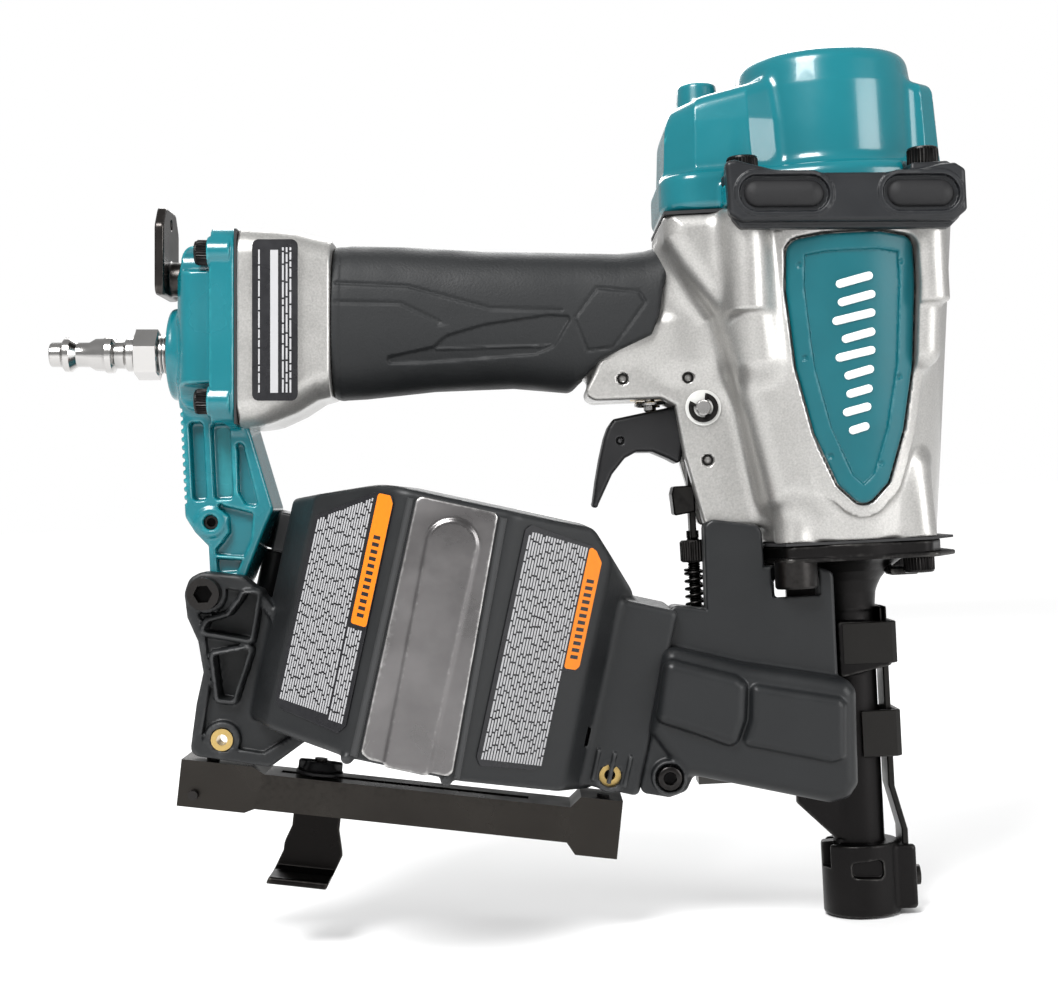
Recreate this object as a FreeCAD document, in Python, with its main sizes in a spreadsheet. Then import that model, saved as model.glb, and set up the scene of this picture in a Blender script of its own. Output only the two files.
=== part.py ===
import FreeCAD, Part
import math
import os
from types import SimpleNamespace
import Sketcher
from FreeCAD import Placement, Rotation, Vector

# Pneumatic coil roofing nailer. Millimetres, +Z up (the nail is driven towards -Z),
# +X towards the nose side, -Y is the tool's right side. The origin is on the drive
# axis at the work face of the contact foot.

os.makedirs("parts", exist_ok=True)
doc = FreeCAD.newDocument("coil_roofing_nailer")
sheet = doc.addObject("Spreadsheet::Sheet", "Sizes")

DRIVING = {
    # clearances
    "run_gap": 0.06, "seat_gap": 0.1,
    # stack along the drive axis
    "contact_travel": 7.0, "nose_length": 119.0, "housing_height": 102.0,
    "cap_height": 49.0, "gasket_thick": 1.0, "flange_thick": 4.2,
    # barrel, cylinder and piston
    "barrel_foot_radius": 29.0, "barrel_top_radius": 38.5, "barrel_wall": 3.6,
    "floor_thick": 6.0, "bore_radius": 22.0, "sleeve_wall": 2.0, "sleeve_length": 94.0,
    "driver_radius": 4.0, "piston_height": 15.0, "piston_stroke": 54.0, "bumper_height": 17.0,
    "seal_section": 1.6, "shoulder_reach": 55.0, "shoulder_width": 60.0,
    # cap and guard
    "dome_radius": 28.0, "cap_wall": 4.0, "cap_skirt_height": 9.0, "valve_travel": 3.0,
    "screw_front": 24.0, "screw_rear": 30.6, "screw_side": 33.0, "guard_tab": 3.0,
    "guard_depth": 6.0, "guard_height": 16.0, "guard_front": 34.0, "guard_rear": 37.0,
    "pad_proud": 1.2, "pad_height": 8.3,
    # handle group
    "handle_reach": 187.0, "handle_below_joint": 23.7, "handle_tilt": 2.9,
    "core_width": 31.0, "core_height": 41.0, "handle_wall": 4.0, "grip_thick": 3.6,
    "grip_start": 28.5, "grip_front_gap": 2.0, "flare_length": 27.0, "flare_width": 50.0,
    "flare_up": 28.0, "flare_down": 34.0,
    # end cap, air plug and hook
    "plate_thick": 8.5, "end_body_length": 10.0, "end_body_width": 42.0, "boss_radius": 14.5,
    "boss_length": 5.5, "port_drop": 10.0, "port_radius": 6.4, "plug_length": 39.0,
    "plug_tip_radius": 3.9, "hex_flat": 14.3, "hook_thick": 3.0, "hook_width": 26.0, "hook_gap": 6.0,
    "arm_width": 26.0, "bolt_radius": 3.0,
    # trigger group
    "web_width": 30.0, "trigger_width": 16.0, "trigger_pin_back": 44.4, "trigger_pin_z": 162.4,
    "trigger_pin_radius": 2.4, "valve_back": 60.0, "valve_radius": 7.0, "stem_radius": 2.0,
    # nose group
    "nose_radius": 8.0, "nail_bore": 5.2, "foot_radius": 12.3, "foot_height": 22.7,
    "strip_thick": 2.0, "strip_width": 11.0, "side_plate_y": 10.2,
    # magazine
    "mag_back": 131.0, "mag_z": 98.0, "mag_tilt": 15.0, "drum_front": 58.0, "drum_rear": 52.0,
    "drum_side": 58.0, "drum_flat": 17.0, "drum_low": 39.0, "drum_high": 41.0,
    "drum_wall": 2.6, "neck_reach": 72.0, "neck_width": 25.0, "post_radius": 7.0,
    "tray_radius": 42.5, "tray_travel": 12.0, "hinge_radius": 4.0, "hinge_pin_radius": 1.75,
    "bracket_face": 22.0, "insert_radius": 3.4, "insert_hole": 1.7, "strap_width": 23.0,
    # feed
    "feed_face": 32.0, "feed_y": 19.0, "feed_z": 60.0, "feed_radius": 8.0, "feed_travel": 11.0,
    "strip_channel": 4.5, "door_thick": 9.0,
    # rail and shoe
    "rail_length": 137.0, "rail_tilt": 9.0, "rail_width": 20.0, "rail_height": 11.0,
    "rail_sheet": 2.0, "shoe_width": 19.0, "shoe_travel": 62.0,
}


class Size:
    """A number with the sheet formula that gives it."""

    def __init__(self, value, formula):
        self.value = value
        self.formula = formula

    def joined(self, sign, other, value):
        return Size(value, f"({self.formula} {sign} {other.formula})")

    def __add__(self, other):
        other = as_size(other)
        return self.joined("+", other, self.value + other.value)

    def __sub__(self, other):
        other = as_size(other)
        return self.joined("-", other, self.value - other.value)

    def __mul__(self, other):
        other = as_size(other)
        return self.joined("*", other, self.value * other.value)

    def __truediv__(self, other):
        other = as_size(other)
        return self.joined("/", other, self.value / other.value)

    def __radd__(self, other):
        return as_size(other) + self

    def __rsub__(self, other):
        return as_size(other) - self

    def __rmul__(self, other):
        return as_size(other) * self

    def __neg__(self):
        return as_size(0) - self


def as_size(number):
    """Plain numbers become sizes with a constant formula."""
    if isinstance(number, Size):
        return number
    return Size(float(number), f"({float(number):.6f})")


def fill_sheet():
    """One row for each driving dimension: its name and its value."""
    sizes = {}
    for row, (alias, value) in enumerate(DRIVING.items(), start=1):
        sheet.set(f"A{row}", alias)
        sheet.set(f"B{row}", str(value))
        sheet.setAlias(f"B{row}", alias)
        sizes[alias] = Size(value, f"Sizes.{alias}")
    doc.recompute()
    return SimpleNamespace(**sizes)


s = fill_sheet()


class Frame:
    """A local frame in the XZ plane: its origin, and its tilt about +Y in degrees."""

    def __init__(self, x, z, tilt):
        self.x = as_size(x)
        self.z = as_size(z)
        self.tilt = as_size(tilt)
        cosine = math.cos(math.radians(self.tilt.value))
        sine = math.sin(math.radians(self.tilt.value))
        self.cosine = Size(cosine, f"cos({self.tilt.formula})")
        self.sine = Size(sine, f"sin({self.tilt.formula})")

    def at(self, along, up):
        """The tool's x and z of a point of this frame."""
        along = as_size(along)
        up = as_size(up)
        x = self.x + along * self.cosine + up * self.sine
        z = self.z - along * self.sine + up * self.cosine
        return x, z


TURNS = {
    "Z": Rotation(), "-Z": Rotation(Vector(1, 0, 0), 180),
    "X": Rotation(Vector(0, 1, 0), 90), "-X": Rotation(Vector(0, 1, 0), -90),
    "Y": Rotation(Vector(1, 0, 0), -90), "-Y": Rotation(Vector(1, 0, 0), 90),
}
UNIT = {
    "Z": (0, 0, 1), "-Z": (0, 0, -1), "X": (1, 0, 0),
    "-X": (-1, 0, 0), "Y": (0, 1, 0), "-Y": (0, -1, 0),
}
tool = Frame(0, 0, 0)


def bind(piece, path, size):
    piece.setExpression(path, as_size(size).formula)


def seat(piece, frame, x, y, z, along="Z"):
    """Put a piece at a point of a frame, with its own Z turned along one of the frame's axes."""
    at_x, at_z = frame.at(x, z)
    at_y = as_size(y)
    turn = Rotation(Vector(0, 1, 0), frame.tilt.value).multiply(TURNS[along])
    piece.Placement = Placement(Vector(at_x.value, at_y.value, at_z.value), turn)
    bind(piece, "Placement.Base.x", at_x)
    bind(piece, "Placement.Base.y", at_y)
    bind(piece, "Placement.Base.z", at_z)
    return piece


def box(x, y, z, frame=tool):
    """A block between two coordinates on each axis."""
    piece = doc.addObject("Part::Box", "Block")
    for name, (low, high) in zip(("Length", "Width", "Height"), (x, y, z)):
        bind(piece, name, as_size(high) - low)
    return seat(piece, frame, x[0], y[0], z[0])


def rod(at, along, radius, length, frame=tool):
    """A cylinder from a point, running along an axis of the frame."""
    piece = doc.addObject("Part::Cylinder", "Rod")
    bind(piece, "Radius", radius)
    bind(piece, "Height", length)
    return seat(piece, frame, *at, along)


def cone(at, along, radius, end_radius, length, frame=tool):
    piece = doc.addObject("Part::Cone", "Cone")
    bind(piece, "Radius1", radius)
    bind(piece, "Radius2", end_radius)
    bind(piece, "Height", length)
    return seat(piece, frame, *at, along)


def hexagon(at, along, flat, length, frame=tool):
    """A hexagonal bar, given its width across flats."""
    piece = doc.addObject("Part::Prism", "Hexagon")
    piece.Polygon = 6
    bind(piece, "Circumradius", as_size(flat) / math.sqrt(3))
    bind(piece, "Height", length)
    return seat(piece, frame, *at, along)


def fuse(*pieces):
    joined = doc.addObject("Part::MultiFuse", "Joined")
    joined.Shapes = list(pieces)
    return joined


def cut(base, *tools):
    piece = doc.addObject("Part::Cut", "Cut")
    piece.Base = base
    piece.Tool = tools[0] if len(tools) == 1 else fuse(*tools)
    return piece


def common(first, second):
    piece = doc.addObject("Part::Common", "Common")
    piece.Base = first
    piece.Tool = second
    return piece


def origin_plane(body, role):
    return next(item for item in body.Origin.OriginFeatures if item.Role == role)


def outline(body, points, role, offset):
    """A closed sketch of straight runs, each corner held to its own two sizes."""
    sketch = body.newObject("Sketcher::SketchObject", "Outline")
    sketch.AttachmentSupport = (origin_plane(body, role), [""])
    sketch.MapMode = "FlatFace"
    bind(sketch, "AttachmentOffset.Base.z", offset)
    corners = [(as_size(a), as_size(b)) for a, b in points]
    count = len(corners)
    for index in range(count):
        first = corners[index]
        second = corners[(index + 1) % count]
        start = Vector(first[0].value, first[1].value, 0)
        end = Vector(second[0].value, second[1].value, 0)
        sketch.addGeometry(Part.LineSegment(start, end), False)
    for index in range(count):
        following = (index + 1) % count
        sketch.addConstraint(Sketcher.Constraint("Coincident", index, 2, following, 1))
    for index, corner in enumerate(corners):
        for kind, size in zip(("DistanceX", "DistanceY"), corner):
            held = Sketcher.Constraint(kind, -1, 1, index, 1, size.value)
            place = sketch.addConstraint(held)
            if "Sizes." in size.formula:
                sketch.setExpression(f"Constraints[{place}]", size.formula)
    return sketch


# For each plane: its role, and whether the pad's own direction runs against the tool's axis.
PLANES = {"XZ": ("XZ_Plane", True), "XY": ("XY_Plane", False), "YZ": ("YZ_Plane", False)}


def slab(points, span, plane="XZ", frame=tool):
    """A padded outline between two coordinates on the axis across its plane."""
    body = doc.addObject("PartDesign::Body", "Slab")
    role, against = PLANES[plane]
    low, high = as_size(span[0]), as_size(span[1])
    sketch = outline(body, points, role, -high if against else low)
    pad = body.newObject("PartDesign::Pad", "Pad")
    pad.Profile = sketch
    bind(pad, "Length", high - low)
    return seat(body, frame, 0, 0, 0)


def turned(points, at=(0, 0, 0), along="Z", frame=tool):
    """A turned piece: an outline of (radius, height) points, spun about its own Z."""
    body = doc.addObject("PartDesign::Body", "Turned")
    sketch = outline(body, points, "XZ_Plane", 0)
    spin = body.newObject("PartDesign::Revolution", "Spin")
    spin.Profile = sketch
    spin.ReferenceAxis = (sketch, ["V_Axis"])
    spin.Angle = 360
    return seat(body, frame, *at, along)


def tube(at, along, outer, inner, length, frame=tool):
    points = [(inner, 0), (outer, 0), (outer, length), (inner, length)]
    return turned(points, at, along, frame)


def eight_sided(half_width, half_height, corner):
    """The section of a bar with its four corners taken off."""
    wide, tall, off = as_size(half_width), as_size(half_height), as_size(corner)
    return [(-wide, off - tall), (off - wide, -tall), (wide - off, -tall), (wide, off - tall),
            (wide, tall - off), (wide - off, tall), (off - wide, tall), (-wide, tall - off)]


def cap_screw(at, along, shank, length, frame=tool):
    """A socket head screw: the seat under its head is at the point, its shank runs along."""
    x, y, z = (as_size(value) for value in at)
    away = UNIT[along]
    shank = as_size(shank)
    head = shank * 1.65
    height = shank * 2
    opposite = along[1:] if along.startswith("-") else "-" + along
    depth = height * 0.45
    rim = (x - away[0] * height, y - away[1] * height, z - away[2] * height)
    screw = fuse(rod((x, y, z), along, shank, length, frame),
                 rod((x, y, z), opposite, head, height, frame))
    socket = hexagon(rim, along, shank * 1.7, depth, frame)
    return cut(screw, socket)


nodes = []


def node(label, piece):
    piece.Label = label
    nodes.append(piece)
    return piece


housing_z = s.nose_length
joint_z = housing_z + s.housing_height
cap_z = joint_z + s.gasket_thick
cap_top = cap_z + s.cap_height
handle = Frame(-s.handle_reach, joint_z - s.handle_below_joint, s.handle_tilt)
magazine = Frame(-s.mag_back, s.mag_z, s.mag_tilt)
hole_gap = s.seat_gap / 2

# --- cap screws: four long screws through guard, cap and gasket into the housing -----------------
screw_radius = 2.9
screw_seat = cap_z + s.cap_skirt_height
screw_spots = [(x, y) for x in (s.screw_front, -s.screw_rear) for y in (s.screw_side, -s.screw_side)]


def screw_holes(spots, low, high, radius):
    return [rod((x, y, low), "Z", as_size(radius) + hole_gap, as_size(high) - low) for x, y in spots]


def lugs(spots, low, high, radius):
    """Round lugs that hold the screws."""
    return [rod((x, y, low), "Z", radius, as_size(high) - low) for x, y in spots]


node("cap_screws", fuse(*[
    cap_screw((x, y, screw_seat), "-Z", screw_radius, 28) for x, y in screw_spots]))

# --- housing: barrel, shoulder, handle core, flare and trigger web in one casting ----------------
core_half_width = s.core_width / 2
core_half_height = s.core_height / 2
chamber_foot = s.barrel_foot_radius - s.barrel_wall
chamber_top = s.barrel_top_radius - s.barrel_wall
core_corner = 7
core_end = s.handle_reach - 34
barrel = cone((0, 0, housing_z), "Z", s.barrel_foot_radius, s.barrel_top_radius, s.housing_height)
shoulder = slab([
    (-s.shoulder_reach, joint_z), (0, joint_z), (0, housing_z + 5), (-27, housing_z + 5),
    (-34, housing_z + 45), (-43, housing_z + 82), (-s.shoulder_reach, joint_z - 7),
], (-s.shoulder_width / 2, s.shoulder_width / 2))
core = slab(eight_sided(core_half_width, core_half_height, core_corner),
            (s.flare_length - 2, core_end), "YZ", handle)
flare = slab([
    (0, -s.flare_down), (0, s.flare_up), (s.flare_length * 0.45, s.flare_up - 1.5),
    (s.flare_length, core_half_height + 3), (s.flare_length, -core_half_height - 3),
    (s.flare_length * 0.55, -s.flare_down + 2),
], (-s.flare_width / 2, s.flare_width / 2), "XZ", handle)
web_half = s.web_width / 2
web_tail = s.trigger_pin_back + 36.6
pin_z = s.trigger_pin_z
web = slab([
    (-web_tail, pin_z + 6), (-s.trigger_pin_back - 12.6, pin_z + 3.2),
    (-s.trigger_pin_back - 8, pin_z + 0.5), (-s.trigger_pin_back - 6.5, pin_z - 16),
    (-s.trigger_pin_back - 2.6, pin_z - 31.4), (-s.trigger_pin_back - 1.3, housing_z + 7),
    (-20, housing_z + 5), (-20, pin_z + 24), (-s.trigger_pin_back - 11, pin_z + 24),
], (-web_half, web_half))
chamber = cone((0, 0, housing_z + s.floor_thick), "Z",
               chamber_foot, chamber_top, s.housing_height - s.floor_thick)
floor_hole = rod((0, 0, housing_z - 1), "Z", s.driver_radius + 5, s.floor_thick + 2)
bore_corner = 5
handle_bore = slab(eight_sided(core_half_width - s.handle_wall, core_half_height - s.handle_wall,
                               bore_corner), (-1, core_end + 4), "YZ", handle)
slot_half = s.trigger_width / 2 + 0.6
trigger_slot = box((-web_tail - 5, -s.barrel_foot_radius - 7), (-slot_half, slot_half),
                   (housing_z - 5, pin_z + 5))
valve_seat_z = pin_z + 4
valve_bore = rod((-s.valve_back, 0, valve_seat_z - 5), "Z", s.valve_radius + s.run_gap, 30)
pin_bore = rod((-s.trigger_pin_back, -web_half - 1, pin_z), "Y",
               s.trigger_pin_radius + hole_gap, s.web_width + 2)
roll_pin_radius = 1.6
roll_pin_spots = [(-s.trigger_pin_back - 24.6, pin_z + 10.3), (-s.trigger_pin_back - 4.2, pin_z + 9.6),
                  (-s.trigger_pin_back + 0.7, pin_z - 16.4)]
roll_bores = [rod((x, -web_half - 1, z), "Y", roll_pin_radius + hole_gap, s.web_width + 2)
              for x, z in roll_pin_spots]
flange_screw_radius = 2.9
flange_x = 19
flange_y = 22
flange_spots = [(x, y) for x in (-flange_x, flange_x) for y in (-flange_y, flange_y)]
housing_lug_length = 26
end_screw_radius = 2.4
end_screw_y = 20.5
end_screw_spots = [(y, z) for z in (s.flare_up - 8, -s.flare_down + 8)
                   for y in (-end_screw_y, end_screw_y)]
end_holes = [rod((-30, y, z), "X", end_screw_radius + hole_gap, 48, handle)
             for y, z in end_screw_spots]
node("housing", cut(
    fuse(barrel, shoulder, core, flare, web,
         *lugs(screw_spots, joint_z - housing_lug_length, joint_z, screw_radius * 2),
         *lugs(flange_spots, housing_z, housing_z + 20, flange_screw_radius * 2)),
    chamber, floor_hole, handle_bore, trigger_slot, valve_bore, pin_bore, *roll_bores, *end_holes,
    *screw_holes(screw_spots, joint_z - housing_lug_length + 4, joint_z + 1, screw_radius),
    *screw_holes(flange_spots, housing_z - 1, housing_z + 14, flange_screw_radius)))

# --- cylinder sleeve, bumper, piston with its driver blade, and seals ----------------------------
sleeve_low = housing_z + s.floor_thick
sleeve_outer = s.bore_radius + s.sleeve_wall
node("cylinder_sleeve", tube((0, 0, sleeve_low), "Z", sleeve_outer, s.bore_radius, s.sleeve_length))
# The bumper's mouth is a funnel, so that the driver's root can sink into it.
root_radius = 9
root_height = 8
bumper_bore = s.driver_radius + 1.5
bumper_outer = s.bore_radius - s.seat_gap
node("piston_bumper", turned([
    (bumper_bore, 0), (bumper_outer, 0), (bumper_outer, s.bumper_height),
    (root_radius + 0.8, s.bumper_height), (bumper_bore, s.bumper_height - root_height - 1)],
    (0, 0, sleeve_low + hole_gap)))
bumper_top = sleeve_low + hole_gap + s.bumper_height
piston_low = bumper_top + s.piston_stroke + 0.4
piston_top = piston_low + s.piston_height
piston_outer = s.bore_radius - s.run_gap
blade_tip = piston_low - 133
groove_low = piston_low + 5.5
groove_high = groove_low + s.seal_section * 2
groove_radius = s.bore_radius - s.seal_section * 1.6
node("piston_and_driver", turned([
    (0, blade_tip), (s.driver_radius, blade_tip), (s.driver_radius, piston_low - root_height),
    (root_radius, piston_low), (piston_outer, piston_low), (piston_outer, groove_low),
    (groove_radius, groove_low), (groove_radius, groove_high), (piston_outer, groove_high),
    (piston_outer, piston_top), (14, piston_top), (14, piston_top - 7), (0, piston_top - 7)]))
node("piston_ring", tube((0, 0, groove_low + 0.1), "Z", piston_outer - 0.01, groove_radius + 0.1,
                         groove_high - groove_low - 0.2))

# --- head valve: a sprung ring above the sleeve, inside the cap ----------------------------------
valve_low = sleeve_low + s.sleeve_length + 0.3
valve_ring_outer = s.bore_radius + 3.5
cap_bore = valve_ring_outer + 0.3
valve_height = 14
valve_top = valve_low + valve_height
node("head_valve", tube((0, 0, valve_low), "Z", valve_ring_outer, s.bore_radius - 4, valve_height))
cap_ceiling = cap_top - s.cap_wall - 1
node("head_valve_spring", tube((0, 0, valve_top + s.valve_travel + 0.3), "Z", s.bore_radius - 5,
                               s.bore_radius - 7.5, cap_ceiling - valve_top - s.valve_travel - 0.5))

# --- cap gasket and cap --------------------------------------------------------------------------


def joint_plan(low, high, grow):
    """The shared outline of housing top, gasket and cap skirt."""
    reach = s.shoulder_reach + grow
    half = s.shoulder_width / 2 + grow
    return [rod((0, 0, low), "Z", s.barrel_top_radius + grow, as_size(high) - low),
            box((-reach, 0), (-half, half), (low, high))]


cap_gasket = cut(fuse(*joint_plan(joint_z, cap_z, -0.3)),
                 rod((0, 0, joint_z - 1), "Z", chamber_top, s.gasket_thick + 2),
                 *screw_holes(screw_spots, joint_z - 1, cap_z + 1, screw_radius))
guard_inner = s.barrel_top_radius + 0.5
cap_holes = screw_holes(screw_spots, cap_z - 1, screw_seat, screw_radius)
tab_low = screw_seat - s.guard_tab
head_pockets = screw_holes(screw_spots, tab_low - hole_gap, cap_top + 1, screw_radius * 1.65 + 0.6)
tab_half = 4.6


def guard_tabs(gap):
    """The guards' tabs under the screw heads, or with a gap the room for them in the cap."""
    made = []
    for x, y in screw_spots:
        side = 1 if y.value > 0 else -1
        near = (s.screw_side - tab_half - gap) * side
        out = (guard_inner + 1) * side
        span = (near, out) if side > 0 else (out, near)
        made.append(box((x - tab_half - gap, x + tab_half + gap), span,
                        (tab_low - gap, screw_seat + gap)))
    return made


skirt = fuse(*joint_plan(cap_z, cap_z + s.cap_skirt_height, 0))
upper_cone = cone((0, 0, cap_z + s.cap_skirt_height), "Z", s.barrel_top_radius - 3,
                  s.dome_radius + 4, 26)
dome = rod((0, 0, cap_z), "Z", s.dome_radius, s.cap_height)
rear_lobe = slab([
    (-s.shoulder_reach, cap_z), (0, cap_z), (0, cap_top - 10), (-33, cap_top - 10),
    (-s.shoulder_reach + 5, cap_top - 17), (-s.shoulder_reach + 3, cap_z + 33),
    (-s.shoulder_reach, cap_z + 8),
], (-s.shoulder_width / 2 + 4, s.shoulder_width / 2 - 4))
front_lobe = box((0, s.barrel_top_radius - 3), (-13, 13), (cap_z, cap_top - 10))
rear_boss = rod((-s.shoulder_reach + 15, 0, cap_z), "Z", 6, s.cap_height - 5)
node("top_cap", cut(
    fuse(skirt, upper_cone, dome, rear_lobe, front_lobe, rear_boss,
         *lugs(screw_spots, cap_z, tab_low, screw_radius * 2)),
    rod((0, 0, cap_z - 1), "Z", cap_bore, cap_ceiling - cap_z - 12),
    rod((0, 0, cap_z - 1), "Z", s.dome_radius - s.cap_wall, cap_ceiling - cap_z + 1),
    slab([(-s.shoulder_reach + 6, cap_z - 1), (-10, cap_z - 1), (-10, cap_top - 16),
          (-s.shoulder_reach + 12, cap_top - 22)], (-14, 14)),
    *cap_holes, *head_pockets, *guard_tabs(hole_gap)))

# --- guards: one moulded bumper band on each side, with two rubber pads in each ------------------
guard_low = joint_z - 6.5
guard_high = guard_low + s.guard_height
guard_outer = guard_inner + s.guard_depth
pad_z = guard_low + s.guard_height / 2
pad_spots = [(-32, -8), (10.5, 30.5)]


def guard(side):
    """The band on one side; side is +1 for the left of the tool and -1 for the right."""
    low, high = (guard_inner, guard_outer) if side > 0 else (-guard_outer, -guard_inner)
    band = slab([
        (-s.guard_rear, guard_low + 2), (-s.guard_rear + 2, guard_low), (s.guard_front - 2, guard_low),
        (s.guard_front, guard_low + 2), (s.guard_front, guard_high), (s.guard_front - 8, guard_high),
        (s.guard_front - 12, guard_high - 3), (-s.guard_rear + 12, guard_high - 3),
        (-s.guard_rear + 8, guard_high), (-s.guard_rear, guard_high)], (low, high))
    face = -guard_outer - 1 if side < 0 else guard_outer - 2
    recesses = [box((a - 0.2, b + 0.2), (face, face + 3),
                    (pad_z - s.pad_height / 2 - 0.2, pad_z + s.pad_height / 2 + 0.2))
                for a, b in pad_spots]
    return cut(band, *recesses)


def guard_pad(side):
    y = guard_outer - 1.9 if side > 0 else -guard_outer - s.pad_proud
    return [slab([
        (a, pad_z - 1.5), (a + 2.5, pad_z - s.pad_height / 2), (b - 2.5, pad_z - s.pad_height / 2),
        (b, pad_z - 1.5), (b, pad_z + 1.5), (b - 2.5, pad_z + s.pad_height / 2),
        (a + 2.5, pad_z + s.pad_height / 2), (a, pad_z + 1.5)], (y, y + 1.9 + s.pad_proud))
        for a, b in pad_spots]


node("guards", cut(fuse(guard(-1), guard(1), *guard_tabs(0)),
                   *screw_holes(screw_spots, tab_low - 1, screw_seat + 1, screw_radius)))
node("guard_pads", fuse(*guard_pad(-1), *guard_pad(1)))

# --- name plates: a shield let into each side of the barrel, no lettering ------------------------
badge_top = joint_z - 11


def badge(side):
    near = s.barrel_foot_radius + 2.5
    shield = slab([
        (-18, badge_top), (20, badge_top), (19, badge_top - 34), (9, badge_top - 72),
        (1.5, badge_top - 82), (-6, badge_top - 72), (-17, badge_top - 34),
    ], (near, s.barrel_top_radius + 3) if side > 0 else (-s.barrel_top_radius - 3, -near))
    grown = cone((0, 0, housing_z), "Z", s.barrel_foot_radius + 2.2, s.barrel_top_radius + 1.4,
                 s.housing_height)
    skin = cone((0, 0, housing_z - 1), "Z", s.barrel_foot_radius + 0.05, s.barrel_top_radius + 0.2,
                s.housing_height + 2)
    return cut(common(shield, grown), skin,
               *lugs(screw_spots, joint_z - housing_lug_length - 1, joint_z, screw_radius * 2 + 0.2))


node("badges", fuse(badge(-1), badge(1)))

# --- grip sleeve, rating plate -------------------------------------------------------------------
grip_end = s.handle_reach - s.shoulder_reach - s.grip_front_gap
grip_half_width = core_half_width + s.grip_thick
grip_half_height = core_half_height + s.grip_thick
grip_bar = slab(eight_sided(grip_half_width, grip_half_height, core_corner + 2),
                (s.grip_start, grip_end), "YZ", handle)
grip_hollow = slab(eight_sided(core_half_width + s.seat_gap, core_half_height + s.seat_gap,
                               core_corner), (s.grip_start - 1, grip_end + 1), "YZ", handle)
grip_relief = slab([
    (-web_tail - 3, pin_z - 2), (-web_tail - 1.5, pin_z + 7.5),
    (-s.trigger_pin_back - 8, pin_z + 30), (-s.trigger_pin_back + 6, pin_z + 30),
    (-s.trigger_pin_back + 6, pin_z - 2)], (-30, 30))
shoulder_relief = slab([
    (-s.shoulder_reach - 1, joint_z + 4), (-s.shoulder_reach - 1, joint_z - 9),
    (-43.6, housing_z + 80), (-43.6, joint_z + 4)], (-30, 30))
node("grip_sleeve", cut(grip_bar, grip_hollow, grip_relief, shoulder_relief))
plate_low = -26
node("rating_plate", box((5, 19), (-s.flare_width / 2 - 0.8, -s.flare_width / 2 - 0.05),
                         (plate_low, 24), handle))

# --- end cap with the arm that carries the magazine, its gasket and screws -----------------------
bolt_x = -s.mag_back - 70
bolt_z = s.mag_z + 14.7
seal_thick = 0.8
cap_plate = box((-s.plate_thick, -seal_thick), (-s.flare_width / 2, s.flare_width / 2),
                (-s.flare_down, s.flare_up), handle)
body_end = -s.plate_thick - s.end_body_length
cap_body = box((body_end, -s.plate_thick + 1), (-s.end_body_width / 2, s.end_body_width / 2),
               (-s.flare_down + 4, s.flare_up - 4), handle)
boss_end = body_end - s.boss_length
boss = rod((body_end + 1, 0, -s.port_drop), "-X", s.boss_radius, s.boss_length + 1, handle)
port = rod((boss_end - 1, 0, -s.port_drop), "X", s.port_radius, 40, handle)
filter_room = box((-s.plate_thick - 5, 1), (-12, 12), (-s.port_drop - 9, 14), handle)
arm_top_rear = handle.at(-21, -s.flare_down + 6)
arm_top_front = handle.at(-2.5, -s.flare_down + 2)
arm_half = s.arm_width / 2
arm = slab([
    arm_top_rear, (bolt_x - 7, bolt_z + 23), (bolt_x - 0.5, bolt_z + 14),
    (bolt_x - 6.5, bolt_z + 3), (bolt_x - 4, bolt_z - 5), (bolt_x + 4, bolt_z - 5),
    (bolt_x + 10.5, bolt_z + 4), (bolt_x + 13, bolt_z + 24), arm_top_front], (-arm_half, arm_half))
arm_web = 8
arm_slots = [box((bolt_x - 1, bolt_x + 10), span, (bolt_z + 30, bolt_z + 50))
             for span in ((-arm_half - 1, -arm_web / 2), (arm_web / 2, arm_half + 1))]
bolt_bore = rod((bolt_x, -arm_half - 1, bolt_z), "Y", s.bolt_radius + hole_gap, s.arm_width + 2)
hook_pivot_z = 14
hook_bore = rod((body_end + 9, 0, hook_pivot_z), "-X", 2.0 + hole_gap, 20, handle)
head_wells = [rod((-s.plate_thick, y, z), "-X", end_screw_radius * 1.65 + 0.25, 20, handle)
              for y, z in end_screw_spots]
node("end_cap", cut(fuse(cap_plate, cap_body, boss, arm), *head_wells, port, filter_room, *arm_slots,
                    bolt_bore, hook_bore, *end_holes))
end_cap_seal = cut(
    box((-seal_thick + 0.02, -0.02), (-s.flare_width / 2 + 1, s.flare_width / 2 - 1),
        (-s.flare_down + 1, s.flare_up - 1), handle),
    slab(eight_sided(core_half_width - s.handle_wall, core_half_height - s.handle_wall, bore_corner),
         (-3, 3), "YZ", handle),
    *[rod((-3, y, z), "X", end_screw_radius + hole_gap, 6, handle) for y, z in end_screw_spots])
end_cap_screws = [cap_screw((-s.plate_thick - 0.05, y, z), "X", end_screw_radius, 24, handle)
                  for y, z in end_screw_spots]
filter_start = s.plate_thick + 3.2
node("air_filter", tube((-filter_start, 0, -s.port_drop), "X", 8.6, 5.5,
                        filter_start - seal_thick - 0.3, handle))

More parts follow.
